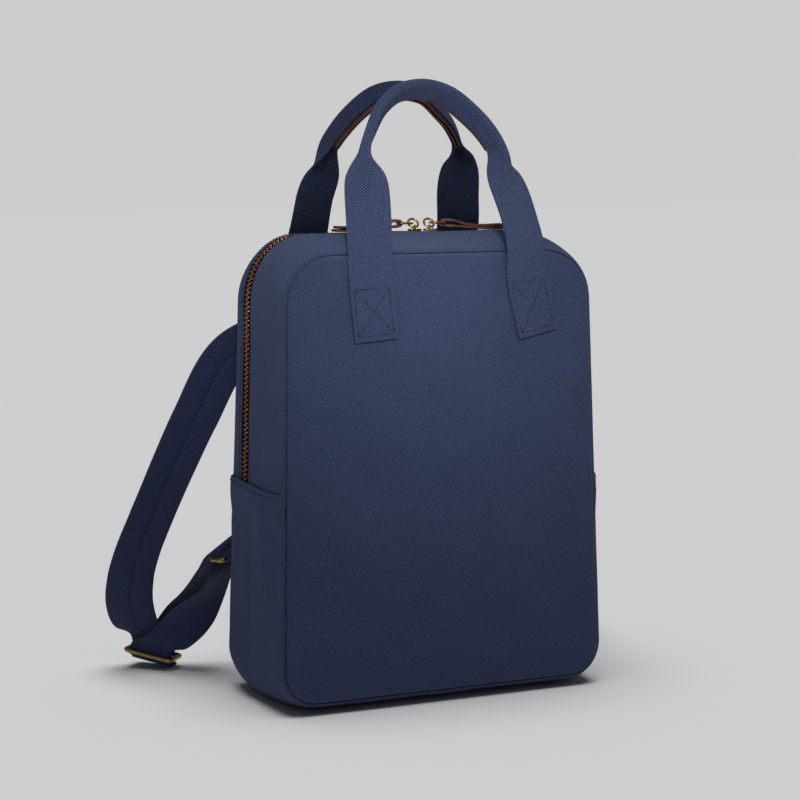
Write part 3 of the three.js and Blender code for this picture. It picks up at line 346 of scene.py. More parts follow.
def aged_brass(name, dark, bright):
    material, tree, shader = new_material(name)
    place = add(tree, "ShaderNodeTexCoord").outputs["Object"]
    # Handling wears the dark finish off in patches of a few millimetres.
    wear = add(tree, "ShaderNodeTexNoise", {"Vector": place, "Scale": 260.0, "Detail": 4.0})
    tree.links.new(shade(tree, dark, bright, wear.outputs["Fac"]),
                   shader.inputs["Base Color"])
    rough = add(tree, "ShaderNodeMapRange", {0: wear.outputs["Fac"], 3: 0.42, 4: 0.22})
    tree.links.new(rough.outputs[0], shader.inputs["Roughness"])
    shader.inputs["Metallic"].default_value = 1
    return material


leather = vegetable_tanned_leather()
brass = aged_brass("antique_brass", "75592e", "cfab6c")
# Red brass has more copper, so the zip's teeth look warmer than the rings.
tooth_brass = aged_brass("red_brass_teeth", "5a3320", "c08250")
print("materials:", len(bpy.data.materials))

# %% [markdown]
# ## A helper that weaves
# Every cloth piece is a grid whose rows run along the piece and whose columns run across it. The
# grid comes from Blender, a place is worked out for each of its corners, and the distances between
# the corners become the UV map, in metres. A Solidify modifier gives the cloth its thickness.


# %% Weaving helpers
def take_in(data, name, node):
    """Puts a piece into the scene under its lamps, and hides the CAD node it stands for."""
    piece = bpy.data.objects.new(name, data)
    bpy.context.scene.collection.objects.link(piece)
    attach(piece, "root")
    on_bag.objects.link(piece)
    if not name.startswith(("back_handle", "back_grip")):
        under_spot.objects.link(piece)
    if node:
        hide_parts(node)
    return piece


def keep(bm, name, material, node=None):
    mesh = bpy.data.meshes.new(name)
    bm.to_mesh(mesh)
    bm.free()
    mesh.materials.append(material)
    mesh.shade_smooth()
    print(f"{name}: {len(mesh.polygons)} faces")
    return take_in(mesh, name, node)


def travelled(points):
    """How far along a line each of its points lies."""
    steps = np.linalg.norm(np.diff(np.array(points, float), axis=0), axis=1)
    return np.concatenate([[0], np.cumsum(steps)])


def cloth_grid(points, closed=False, mid_zero=False):
    """
    A grid of quads through points[row][column], in millimetres, with its UV map. Closed: the
    columns meet in a ring. Mid_zero: the map counts from the middle of the band.
    """
    points = np.array(points, float)
    rows, columns = points.shape[:2]
    across = np.zeros((rows, columns))
    across[:, 1:] = np.cumsum(np.linalg.norm(np.diff(points, axis=1), axis=2), axis=1)
    if mid_zero:
        across -= across[:, [columns // 2]]
    along = travelled(points[:, columns // 2])
    bm = bmesh.new()
    uv = bm.loops.layers.uv.new("cloth")
    bmesh.ops.create_grid(bm, x_segments=columns - 1, y_segments=rows - 1, size=1)
    where = {}
    for vertex in bm.verts:
        where[vertex] = (round((vertex.co.y + 1) / 2 * (rows - 1)),
                         round((vertex.co.x + 1) / 2 * (columns - 1)))
    for face in bm.faces:
        for loop in face.loops:
            row, column = where[loop.vert]
            loop[uv].uv = (across[row, column] * MM, along[row] * MM)
    for vertex, (row, column) in where.items():
        vertex.co = Vector(points[row, column]) * MM
    if closed:
        bmesh.ops.remove_doubles(bm, verts=bm.verts, dist=0.01 * MM)
    return bm


def thicken(piece, thickness_mm, offset, levels=1):
    """Offset -1 puts the wall inside the sheet, 0 on both sides of it."""
    wall = piece.modifiers.new("wall", "SOLIDIFY")
    wall.thickness = thickness_mm * MM
    wall.offset = offset
    if levels:
        soft = piece.modifiers.new("soft", "SUBSURF")
        soft.levels = levels
        soft.render_levels = levels


def face_away_from(bm, centre_mm):
    """Turns a sheet's faces outwards, seen from a point inside the bag."""
    centre = Vector(centre_mm) * MM
    bm.normal_update()
    outward = sum(f.normal.dot(f.calc_center_median() - centre) * f.calc_area() for f in bm.faces)
    if outward < 0:
        bmesh.ops.reverse_faces(bm, faces=bm.faces)


def smooth_rows(rows, spacing):
    """More rows on a smooth curve through the given ones. The first three numbers are the place."""
    rows = np.array(rows, float)
    travel = travelled(rows[:, :3])
    slopes = np.gradient(rows, travel, axis=0)
    wanted = np.linspace(0, travel[-1], max(3, int(travel[-1] / spacing)) + 1)
    k = np.clip(np.searchsorted(travel, wanted, side="right") - 1, 0, len(travel) - 2)
    span = (travel[k + 1] - travel[k])[:, None]
    t = (wanted - travel[k])[:, None] / span
    return ((2 * t**3 - 3 * t**2 + 1) * rows[k] + (t**3 - 2 * t**2 + t) * span * slopes[k]
            + (3 * t**2 - 2 * t**3) * rows[k + 1] + (t**3 - t**2) * span * slopes[k + 1])


# %% [markdown]
# ## The outline of the bag
# Front and back panel share one outline, a tapering rectangle with round corners. The gusset runs
# round it. The same sizes as in the CAD model are used here, in millimetres, with finer steps.

# %% Sizes of the bag
WIDTH_TOP, WIDTH_BOTTOM = 281, 299
SEAM_TOP, SEAM_BOTTOM = 379, 7
DEPTH_TOP, DEPTH_BOTTOM = 107, 134
TOP_RADIUS, BOTTOM_RADIUS = 44, 30
CANVAS, WEBBING, GAP = 1.8, 1.9, 0.3
CROWN_SIDE, CROWN_TOP, CROWN_BOTTOM, CROWN_POWER = 5, 13, 10, 2.6
SEAM_IN, SEAM_ROLL = 3.1, 3.6
PUFF_FRONT, PUFF_BACK = 6, 4
ZIP_BACK, ZIP_OPENING = 20, 17.5
HEM_HEIGHT, HEM_WIDTH, HEM_FOLD, HEM_FADE = 185, 14, 1.2, 95
HEM_FOOT = HEM_HEIGHT - HEM_WIDTH
RIM = SEAM_IN + 0.45  # where the canvas ends beside the seam's line
MIDDLE = (SEAM_TOP + SEAM_BOTTOM) / 2
BEND_STEPS = 16


def mix(a, b, share):
    return a + (b - a) * share


def clamp(value, low=0.0, high=1.0):
    return min(high, max(low, value))


def smoothstep(value):
    t = clamp(value)
    return t * t * (3 - 2 * t)


def up_share(z):
    return (z - SEAM_BOTTOM) / (SEAM_TOP - SEAM_BOTTOM)


def half_width(z):
    return mix(WIDTH_BOTTOM, WIDTH_TOP, up_share(z)) / 2


def half_depth(z):
    return mix(DEPTH_BOTTOM, DEPTH_TOP, up_share(z)) / 2


SLOPE = math.atan2((WIDTH_BOTTOM - WIDTH_TOP) / 2, SEAM_TOP - SEAM_BOTTOM)


def corner(z, radius):
    return half_width(z) - radius / math.cos(SLOPE), z, radius


TOP_CORNER = corner(SEAM_TOP - TOP_RADIUS, TOP_RADIUS)
BOTTOM_CORNER = corner(SEAM_BOTTOM + BOTTOM_RADIUS, BOTTOM_RADIUS)


def bend(centre, start, end, side):
    """Stations round a corner. A station is x, z and the outward direction's x and z."""
    x, z, radius = centre
    return [(side * (x + radius * math.cos(a)), z + radius * math.sin(a),
             side * math.cos(a), math.sin(a))
            for a in (mix(start, end, i / BEND_STEPS) for i in range(BEND_STEPS + 1))]


def straight(a, b, spacing):
    """Stations between two stations, without the ends, with the normals of the first."""
    steps = max(2, round(math.hypot(b[0] - a[0], b[1] - a[1]) / spacing))
    return [(mix(a[0], b[0], i / steps), mix(a[1], b[1], i / steps), a[2], a[3])
            for i in range(1, steps)]


def side_station(z, side):
    return side * half_width(z), z, side * math.cos(SLOPE), math.sin(SLOPE)


STATION_SPACING = 5


def over_the_top(height, spacing=STATION_SPACING):
    right = bend(TOP_CORNER, SLOPE, math.pi / 2, 1)
    left = bend(TOP_CORNER, math.pi / 2, SLOPE, -1)
    start, end = side_station(height, 1), side_station(height, -1)
    return [start, *straight(start, right[0], spacing), *right,
            *straight(right[-1], left[0], spacing), *left,
            *straight((*left[-1][:2], *end[2:]), end, spacing), end]


def under_the_bottom(height, spacing):
    left = bend(BOTTOM_CORNER, SLOPE, -math.pi / 2, -1)
    right = bend(BOTTOM_CORNER, -math.pi / 2, SLOPE, 1)
    start, end = side_station(height, -1), side_station(height, 1)
    return [start, *straight(start, left[0], spacing), *left,
            *straight(left[-1], right[0], spacing), *right,
            *straight((*right[-1][:2], *end[2:]), end, spacing), end]


print("stations over the top:", len(over_the_top(HEM_HEIGHT)))

# %% [markdown]
# ## How the canvas stands
# The gusset crowns out between its seams, the panels puff a little, and all canvas turns in to
# the seams. Real canvas is never that even: it gathers in small puckers along a seam and has soft
# dents, so both are added here.


# %% Crown, puff, puckers and dents
PUCKER_PITCH, PUCKER_REACH, PUCKER_HEIGHT = 7, 14, 0.45
PUFF_ACROSS, PUFF_UP = 2.4, 3  # how flat the puff is in the middle of a panel


def turned_in(from_seam):
    return clamp(1 - (from_seam - SEAM_IN) / SEAM_ROLL) ** 2


def ripple(x, y, z, size_mm, height_mm):
    return height_mm * noise.noise(Vector((x, y, z)) / size_mm)


def pucker(along, from_seam):
    """Small gathers beside a seam, which are gone a short way from it."""
    fade = clamp(1 - from_seam / PUCKER_REACH) ** 2
    return fade * PUCKER_HEIGHT * noise.noise(Vector((along / PUCKER_PITCH, from_seam / 30, 3.7)))


def crown(station, y):
    x, z, nx, nz = station
    most = mix(CROWN_SIDE, CROWN_TOP if nz > 0 else CROWN_BOTTOM, nz * nz)
    depth = half_depth(z)
    edge = SEAM_IN - depth if y < ZIP_BACK else depth - SEAM_IN
    share = clamp((y - ZIP_BACK) / (edge - ZIP_BACK))
    return most * (1 - share**CROWN_POWER) - SEAM_IN * turned_in(depth - abs(y))


def puff(x, z, most):
    across = clamp(abs(x) / (half_width(z) - SEAM_IN))
    up = clamp(abs(2 * up_share(z) - 1))
    return most * (1 - across**PUFF_ACROSS) * (1 - up**PUFF_UP)


# Soft dents of the lower gusset: side, height share, place across, depth, height, width.
LOWER_DENTS = [(-1, 0.32, -0.45, 2.6, 0.3, 0.28), (-1, 0.2, 0.05, -2.2, 0.3, 0.25),
               (-1, 0.33, 0.55, 1.8, 0.22, 0.25), (1, 0.3, -0.35, 2.4, 0.3, 0.28),
               (1, 0.18, 0.2, -2, 0.3, 0.25)]


def dents(station, y):
    x, z, nx, nz = station
    total = 0
    for side, up, across, depth, tall, wide in LOWER_DENTS:
        if side * nx > 0:
            a = (up_share(z) - up) / tall
            b = (y / half_depth(z) - across) / wide
            total += depth * math.exp(-4 * (a * a + b * b))
    return total * (1 - nz * nz)


def gusset_point(station, y, out):
    x, z, nx, nz = station
    return x + nx * out, y, max(z + nz * out, 0)


print("crown on top:", round(crown((0, SEAM_TOP, 0, 1), ZIP_BACK), 1), "mm")


# %% [markdown]
# ## Front and back panel
# Each panel is one piece of canvas. It is laid as rings that follow the outline, close together
# at the seam, where the cloth turns in, and wider apart towards the middle.

# %% Panels
ALLOWANCE = 3.4  # the cut edge goes on behind the seam, inside the bag
NEAR_SEAM = [0, 0.7, 1.5, 2.5, 3.6, 5, 7.5, 11]
INSETS = [RIM - 0.8] + [RIM + near for near in NEAR_SEAM]
SCALES = [0.93, 0.86, 0.78, 0.69, 0.6, 0.5, 0.4, 0.3, 0.2, 0.1, 0.0]


def panel_rings(side, most):
    outline = over_the_top(MIDDLE)[:-1] + under_the_bottom(MIDDLE, STATION_SPACING)[:-1]
    outline.append(outline[0])
    along = travelled([station[:2] for station in outline])
    rows = []
    for inset, scale in [(i, 1) for i in INSETS] + [(INSETS[-1], s) for s in SCALES]:
        row = []
        for (x, z, nx, nz), travel in zip(outline, along):
            px = (x - nx * inset) * scale
            pz = MIDDLE + (z - nz * inset - MIDDLE) * scale
            inwards = turned_in(inset) if scale == 1 else 0
            out = half_depth(pz) + puff(px, pz, most) * (1 - inwards)
            out -= SEAM_IN * inwards + (ALLOWANCE if inset < RIM else 0)
            if scale == 1:
                out += pucker(travel % along[-1], inset)
            out += ripple(px, side * 40, pz, 55, 0.9) * clamp(1 - scale * 0.2 - inwards)
            row.append((px, side * out, pz))
        rows.append(row)
    return rows


def build_panel(name, node, side, most):
    bm = cloth_grid(panel_rings(side, most), closed=True)
    uv = bm.loops.layers.uv["cloth"]
    for face in bm.faces:
        for loop in face.loops:
            loop[uv].uv = (loop.vert.co.x, loop.vert.co.z)
    face_away_from(bm, (0, 0, MIDDLE))
    thicken(keep(bm, name, canvas, node), CANVAS, -1, 0)


build_panel("front_panel_canvas", "front_panel", -1, PUFF_FRONT)
build_panel("back_panel_canvas", "back_panel", 1, PUFF_BACK)

# %% [markdown]
# ## The gusset round the zip
# Two strips of canvas run from hem to hem over the top, one in front of the zip and one behind.
# Their edges at the zip are folded under, which leaves a soft thick edge.


# %% Zip gusset
FOLDED_EDGE, EDGE_ROLL = 1.2, 0.5
DENT_START = 12  # dents need this much canvas beside a seam


def from_seam_places(length):
    """Places across a strip, close together at the seam and at the folded edge."""
    last = NEAR_SEAM[-1]
    steps = max(2, round((length - last) / 6))
    return (NEAR_SEAM + [mix(last, length - FOLDED_EDGE, i / steps) for i in range(1, steps + 1)]
            + [length])


def strip_ripple(station, y):
    return ripple(station[0], y, station[1], 45, 0.8)


def gusset_rows(stations, side):
    """Rows from a seam to the zip's edge: side is -1 for the front strip, 1 for the back."""
    edge = ZIP_BACK + side * ZIP_OPENING / 2
    length_on_top = abs(side * (half_depth(SEAM_TOP) - RIM) - edge)
    rows = []
    for station, travel in zip(stations, travelled([station[:2] for station in stations])):
        seam = side * (half_depth(station[1]) - RIM)
        stretch = abs(seam - edge) / length_on_top
        row = []
        for place in from_seam_places(length_on_top):
            y = seam - side * place * stretch
            out = crown(station, y) + pucker(travel, place + SEAM_IN)
            out += strip_ripple(station, y) * clamp(place / DENT_START)
            # The folded edge rolls down towards the zip.
            out -= EDGE_ROLL * clamp(1 - abs(y - edge) / FOLDED_EDGE)
            row.append(gusset_point(station, y, out))
        rows.append(row)
    return rows


def build_zip_strip(name, node, side):
    bm = cloth_grid(gusset_rows(over_the_top(HEM_FOOT), side))
    face_away_from(bm, (0, 0, MIDDLE))
    thicken(keep(bm, name, canvas, node), CANVAS, -1)


build_zip_strip("front_strip_canvas", "front_zip_gusset", -1)
build_zip_strip("back_strip_canvas", "back_zip_gusset", 1)

# %% [markdown]
# ## The base strip
# One strip makes the lower sides and the bottom. Its upper ends are hemmed and lie over the ends
# of the zip. It carries the bag's weight, so it has the deepest dents.


# %% Base strip
HEM_SLOPE, HEM_NEAR_SEAM, SETTLED_FROM_SEAM = 25, 9, 20
FOLD_ROLL, FOLD_DEEP = 1.6, 1.7
HEM_DIP, HEM_WAVE = 1.5, 26
CORNERS_END = 60  # above this height the strip's sides are straight
INNER_COLUMNS = 15


def hem_lift(z, from_seam):
    """How far the hem stands out over the zip's ends, and the canvas that settles below it."""
    step = smoothstep((z - HEM_FOOT + HEM_SLOPE) / HEM_SLOPE)
    step *= mix(0.25, 1, smoothstep(from_seam / HEM_NEAR_SEAM))
    settled = smoothstep((z - HEM_FOOT + HEM_FADE) / HEM_FADE)
    settled *= smoothstep((from_seam - 1) / SETTLED_FROM_SEAM)
    rolled = FOLD_DEEP * clamp((z - HEM_HEIGHT + FOLD_ROLL) / FOLD_ROLL) ** 2
    return (CANVAS + GAP + HEM_FOLD) * max(step, settled) - rolled


def hem_dip(y):
    """The hem dips a little towards the front of the bag."""
    return HEM_DIP * math.sin(y / HEM_WAVE)


def base_stations():
    """From the left hem down, along the bottom and up to the right hem, with rows at the fold."""
    stations = under_the_bottom(HEM_HEIGHT, 4)
    extra = [side_station(z, s) for s in (-1, 1)
             for z in (HEM_HEIGHT - 0.5, HEM_HEIGHT - 1, HEM_HEIGHT - 1.7, HEM_FOOT)]
    upper = [s for s in stations + extra if s[1] > CORNERS_END]
    left = sorted([s for s in upper if s[0] < 0], key=lambda s: -s[1])
    right = sorted([s for s in upper if s[0] > 0], key=lambda s: s[1])
    return left + [s for s in stations if s[1] <= CORNERS_END] + right


def base_rows():
    stations = base_stations()
    shares = np.linspace(0, 1, INNER_COLUMNS + 2)[1:-1]
    rows = []
    for station, travel in zip(stations, travelled([station[:2] for station in stations])):
        seam = half_depth(station[1]) - RIM
        last = seam - NEAR_SEAM[-1]
        places = [-seam + n for n in NEAR_SEAM] + [mix(-last, last, s) for s in shares]
        places += [seam - n for n in reversed(NEAR_SEAM)]
        in_hem = smoothstep((station[1] - (HEM_FOOT - 2.5)) / 2.5)
        row = []
        for y in places:
            place = seam - abs(y)
            out = crown(station, y) + dents(station, y) * (1 - in_hem)
            out += hem_lift(station[1], place) + pucker(travel, place + SEAM_IN)
            out += (ripple(station[0] + 40, y, station[1], 38, 1.3) * clamp(place / DENT_START)
                    * (1 - in_hem))
            px, py, pz = gusset_point(station, y, out)
            row.append((px, py, pz + in_hem * hem_dip(y)))
        rows.append(row)
    return rows


bm = cloth_grid(base_rows())
face_away_from(bm, (0, 0, MIDDLE / 2))
thicken(keep(bm, "base_strip_canvas", canvas, "base_gusset"), CANVAS, -1)

# %% [markdown]
# ## The zip
# Tapes of brown cloth carry two rows of small brass teeth. Each tooth is a block with its corners
# taken off, and the teeth of the two rows take turns along the chain.


# %% Zip tapes
X, Y, Z = Vector((1, 0, 0)), Vector((0, 1, 0)), Vector((0, 0, 1))
TAPE, TAPE_BELOW_EDGE, TAPE_FALL = 0.9, 3.1, 1.2
TAPE_PLACES = [0.15, 3, 6, 9, 12.5]


def zip_line(drop, spacing=STATION_SPACING):
    """The zip's middle line, below the canvas edges beside it, with the outward direction."""
    edge = ZIP_BACK - ZIP_OPENING / 2
    return [(*gusset_point(s, ZIP_BACK, crown(s, edge) - drop), s[2], s[3])
            for s in over_the_top(HEM_FOOT, spacing)]


def build_tape(name, node, side):
    rows = []
    for x, _, z, nx, nz in zip_line(TAPE_BELOW_EDGE):
        row = []
        for place in TAPE_PLACES:
            # The tape sinks a little where it goes under the canvas.
            fall = clamp((place - 6) / 8) * TAPE_FALL
            row.append((x - nx * fall, ZIP_BACK + side * place, z - nz * fall))
        rows.append(row)
    bm = cloth_grid(rows)
    face_away_from(bm, (0, 0, MIDDLE))
    thicken(keep(bm, name, zip_tape, node), TAPE, -1, 0)


build_tape("front_tape_cloth", "front_zip_tape", -1)
build_tape("back_tape_cloth", "back_zip_tape", 1)

# %% Zip teeth
TOOTH_PITCH = 3.9  # from one tooth to the next in the same row
TOOTH_SIZE, TOOTH_OFF_MIDDLE, TOOTH_BEVEL = (1.6, 5.4, 2.3), 1.9, 0.32
TEETH_BELOW_EDGE, FIRST_TOOTH, CHAIN_ENDS = 1.6, 6, 8

line = np.array(zip_line(TEETH_BELOW_EDGE, 2))
travel = travelled(line[:, :3])
bm = bmesh.new()
count = int((travel[-1] - CHAIN_ENDS) / (TOOTH_PITCH / 2))
for i in range(count):
    place = FIRST_TOOTH + i * TOOTH_PITCH / 2
    x, y, z, nx, nz = (np.interp(place, travel, line[:, k]) for k in range(5))
    side = 1 if i % 2 else -1
    out = Vector((nx, 0, nz)).normalized()
    turn = Matrix((Y.cross(out), Y, out)).transposed().to_4x4()
    centre = Matrix.Translation(Vector((x, y + side * TOOTH_OFF_MIDDLE, z)) * MM)
    size = Matrix.Diagonal((*(s * MM for s in TOOTH_SIZE), 1))
    bmesh.ops.create_cube(bm, size=1, matrix=centre @ turn @ size)
bmesh.ops.bevel(bm, geom=bm.edges[:], offset=TOOTH_BEVEL * MM, affect="EDGES", segments=1,
                profile=0.5, material=-1)
keep(bm, "zip_teeth", tooth_brass, "zip_chain")
print("teeth:", count)

# %% [markdown]
# ## The handles
# A handle is one length of thick webbing. Both ends are folded under and sewn flat on the panel.
# Between the legs the webbing is folded lengthwise round a strip of leather to make a round grip.
# It could be bent with a curve modifier, but that can't fold it on the way. So a short table gives
# its places with how far it is folded there, and a smooth curve through the table does the rest.

# %% Handle tables
HALF_SPAN, RISE, LEAN = 72, 133, 31
WEBBING_WIDTH, FOLD_RADIUS = 38, 3.4
PATCH_LENGTH, PATCH_BELOW = 45, 26
# Across as a share of the half span, up as a share of the rise, lean, fold and turn in degrees.
FRONT_HANDLE = [
    (-0.95, 0, 0, 0, 4), (-0.93, 0.14, 0.14, 0, 11), (-0.91, 0.32, 0.34, 0.04, 13),
    (-0.9, 0.45, 0.46, 0.3, 13), (-0.9, 0.535, 0.54, 0.68, 16), (-0.885, 0.62, 0.63, 1, 20),
    (-0.79, 0.74, 0.75, 1, 28), (-0.62, 0.885, 0.89, 1, 36), (-0.44, 0.962, 0.96, 1, 40),
    (-0.14, 1, 1, 1, 45), (0.2, 0.962, 0.96, 1, 45), (0.48, 0.854, 0.87, 1, 42),
    (0.69, 0.734, 0.75, 1, 34), (0.8, 0.632, 0.64, 1, 24), (0.85, 0.56, 0.57, 0.72, 18),
    (0.875, 0.477, 0.49, 0.36, 14), (0.93, 0.346, 0.36, 0.04, 13), (0.99, 0.214, 0.22, 0, 13),
    (1.045, 0, 0, 0, 6)]
BACK_HANDLE = [
    (-1.06, 0, 0, 0, 4), (-1.035, 0.17, 0.18, 0, 11), (-1.0, 0.34, 0.35, 0.04, 13),
    (-0.96, 0.46, 0.47, 0.32, 13), (-0.935, 0.546, 0.55, 0.68, 16), (-0.89, 0.645, 0.65, 1, 24),
    (-0.78, 0.745, 0.75, 1, 32), (-0.58, 0.87, 0.88, 1, 40), (-0.34, 0.965, 0.96, 1, 45),
    (-0.02, 1, 1, 1, 45), (0.28, 0.965, 0.96, 1, 45), (0.49, 0.875, 0.88, 1, 42),
    (0.66, 0.785, 0.79, 1, 36), (0.8, 0.652, 0.66, 1, 24), (0.845, 0.579, 0.58, 0.68, 16),
    (0.857, 0.477, 0.49, 0.3, 13), (0.88, 0.338, 0.35, 0.04, 13), (0.925, 0.15, 0.16, 0, 13),
    (0.94, 0, 0, 0, 6)]
FRONT_FEET = ((-0.95, -0.9), (1.05, 1.18))
BACK_FEET = ((-1.07, -1.12), (0.95, 1.02))
PATCH_TOP = SEAM_TOP - PATCH_BELOW
PATCH_FOOT = PATCH_TOP - PATCH_LENGTH
HANDLE_OFF_PANEL = 3
print("handle rows:", len(FRONT_HANDLE), len(BACK_HANDLE))


# %% Fold and route of a handle
def fold_point(s, fold, radius):
    """Where the webbing's middle layer lies, s from its centre line, seen along the webbing."""
    if fold < 0.001:
        return s, 0
    curve = fold / radius
    bent = min(abs(s), math.pi / 2 * radius)
    angle = curve * bent
    x = math.sin(angle) / curve + math.cos(angle) * (abs(s) - bent)
    y = -(1 - math.cos(angle)) / curve - math.sin(angle) * (abs(s) - bent)
    return math.copysign(x, s), y


def sewn_row(share, z, most):
    """A row on the panel: the outer of the two layers of the foot, turned with the puff."""
    x = share * HALF_SPAN
    half = WEBBING_WIDTH / 2
    near, far = puff(abs(x) - half, z, most), puff(abs(x) + half, z, most)
    out = half_depth(z) + puff(x, z, most) + GAP + 1.5 * WEBBING
    return x, -out, z, 0, math.degrees(math.atan((near - far) / WEBBING_WIDTH))


def handle_frames(rows, feet, most):
    """Places and directions along the webbing, as for the front handle, 3.5 mm apart."""
    start = DEPTH_TOP / 2 + WEBBING / 2 + GAP + HANDLE_OFF_PANEL
    free = [(a * HALF_SPAN, -(start - lean * LEAN), SEAM_TOP + up * RISE, fold, turn)
            for a, up, lean, fold, turn in rows]
    foot = [[sewn_row(mix(low, top, t), mix(PATCH_FOOT, PATCH_TOP, t), most)
             for t in (0, 0.5, 1)] for top, low in feet]
    stations = smooth_rows(foot[0] + free + foot[1][::-1], 3.5)
    places = stations[:, :3]
    ways = np.gradient(places, axis=0)
    frames = []
    for place, way, (fold, turn) in zip(places, ways, stations[:, 3:]):
        way = Vector(way).normalized()
        out = (-Y + way * Y.dot(way)).normalized()
        inwards = way.cross(out)
        angle = math.radians(turn)
        ridge = out * math.cos(angle) - inwards * math.sin(angle)
        width = inwards * math.cos(angle) + out * math.sin(angle)
        frames.append((Vector(place), width, ridge, way, clamp(fold)))
    return frames


# %% Folded ends and the band across
def turned_under(frame, way):
    """Frames of the folded end: down the inside of the patch and round its foot."""
    place, width, ridge, _, _ = frame
    half = WEBBING / 2 + 0.05
    under = place - ridge * 2 * half
    frames = [(under + way * d, width, ridge, way, 0) for d in (PATCH_LENGTH - 2, 25, 8, 1)]
    for degrees in (30, 90, 150):
        a = math.radians(degrees)
        frames.append((place - ridge * half - ridge * half * math.cos(a)
                       - way * half * math.sin(a), width, ridge, way, 0))
    return frames


S_HALF = WEBBING_WIDTH / 2
S_PLACES = [-S_HALF, -S_HALF + 0.8, -15, -11, -7.5, -5, -3.2, -1.6, 0,
            1.6, 3.2, 5, 7.5, 11, 15, S_HALF - 0.8, S_HALF]


def facing(side, point):
    """The tables are for the front handle, and the back one is turned round by its y."""
    return point.x, -side * point.y, point.z


def band_rows(frames, places, radius, side, shrink=0.0):
    """Shrink: how much nearer to the inside of the fold the band lies than the webbing."""
    rows = []
    for place, width, ridge, _, fold in frames:
        middle = fold_point(S_HALF, fold, FOLD_RADIUS)[1] / 2
        row = []
        for s in places:
            x, y = fold_point(s, fold, radius)
            row.append(facing(side, place + width * x + ridge * (y - middle - shrink)))
        rows.append(row)
    return rows


print("webbing columns:", len(S_PLACES))

# %% [markdown]
# ## Sewing the handles together
# Each handle is one band of webbing from one folded end to the other. Its leather lies inside the
# fold and reaches a little past the webbing's edges, so a thin brown line shows under the grip.

# %% Build the handles
LINING, LINING_PROUD = 1.4, 3.2
LINING_RADIUS = FOLD_RADIUS - WEBBING / 2 - GAP - LINING / 2
GRIP_FOLD = 0.97  # folded at least this far, the webbing is grip and not leg
handle_frames_of = {}
for word, table, feet, side, most in (("front", FRONT_HANDLE, FRONT_FEET, -1, PUFF_FRONT),
                                      ("back", BACK_HANDLE, BACK_FEET, 1, PUFF_BACK)):
    frames = handle_frames(table, feet, most)
    handle_frames_of[word] = frames
    first, last = frames[0], frames[-1]
    whole = (turned_under(first, first[3]) + frames
             + [(p, w, r, d, f) for p, w, r, d, f in turned_under(last, -last[3])][::-1])
    bm = cloth_grid(band_rows(whole, S_PLACES, FOLD_RADIUS, side))
    piece = keep(bm, f"{word}_handle_webbing", handle_webbing,
                 f"{word}_handle")
    thicken(piece, WEBBING, 0)
    grip = [f for f in frames if f[4] > GRIP_FOLD]
    half = (WEBBING_WIDTH - math.pi * (FOLD_RADIUS - LINING_RADIUS)) / 2 + LINING_PROUD
    places = [-half, -half + 0.5, -12, -7, -3, -1.2, 0, 1.2, 3, 7, 12, half - 0.5, half]
    bm = cloth_grid(band_rows(grip, places, LINING_RADIUS, side, FOLD_RADIUS - LINING_RADIUS))
    thicken(keep(bm, f"{word}_grip_leather", leather, f"{word}_grip_lining"),
            LINING, 0)

# %% [markdown]
# ## Rods and strips
# Rings, links and buckles are bent from round brass rod. A curve with a round bevel is that rod,
# and it bends without seams. Straps and pulls are flat strips that twist on their way, so each row
# of a strip is given its own direction across.


# %% Wire and strip helpers
def wire(name, points_mm, diameter, closed, node=None):
    """A rod of round section through points."""
    data = bpy.data.curves.new(name, "CURVE")
    data.dimensions = "3D"
    data.bevel_depth = diameter / 2 * MM
    data.bevel_resolution = 3
    data.use_fill_caps = True
    spline = data.splines.new("POLY")
    spline.points.add(len(points_mm) - 1)
    for point, place in zip(spline.points, points_mm):
        point.co = (*(Vector(place) * MM), 1)
    spline.use_cyclic_u = closed
    spline.use_smooth = True
    data.materials.append(brass)
    take_in(data, name, node)


CIRCLE_STEPS, LOOP_CORNER_STEPS, CREASE_NARROW = 36, 6, 16


def circle(centre, radius, a, b):
    return [centre + a * radius * math.cos(t) + b * radius * math.sin(t)
            for t in (2 * math.pi * i / CIRCLE_STEPS for i in range(CIRCLE_STEPS))]


def rounded_loop(centre, along, across, half_long, half_wide, radius):
    points = []
    for i, (a, b) in enumerate(((1, 1), (-1, 1), (-1, -1), (1, -1))):
        for k in range(LOOP_CORNER_STEPS + 1):
            t = math.pi / 2 * (i + k / LOOP_CORNER_STEPS)
            points.append(centre + along * (a * (half_long - radius) + radius * math.cos(t))
                          + across * (b * (half_wide - radius) + radius * math.sin(t)))
    return points


def strip_rows(rows, places, crease=0.0):
    """
    A flat strip. Each row has a place, a direction across, how firmly a bar holds it, a width,
    and, where the strip has a crease, the crease's share there.
    """
    result = []
    for row, way in zip(rows, np.gradient(rows[:, :3], axis=0)):
        way = Vector(way).normalized()
        across = Vector(row[3:6])
        across = (across - way * across.dot(way) * (1 - clamp(row[6]))).normalized()
        up = across.cross(way).normalized()
        line = []
        for share in places:
            dip = crease * row[8] * math.exp(-(share * CREASE_NARROW) ** 2) if crease else 0
            line.append(Vector(row[:3]) + across * share * row[7] + up * dip)
        result.append(line)
    return result


print("smallest ring step:", round(360 / CIRCLE_STEPS), "degrees")

# %% [markdown]
# ## Zip pulls
# Each slider has a small bridge with a round ring in it, and the ring holds an oblong link with a
# folded strip of leather. The slider is a bevelled block, narrower where the closed chain leaves
# it. The leather goes flat on the zip, round the link and back over itself.


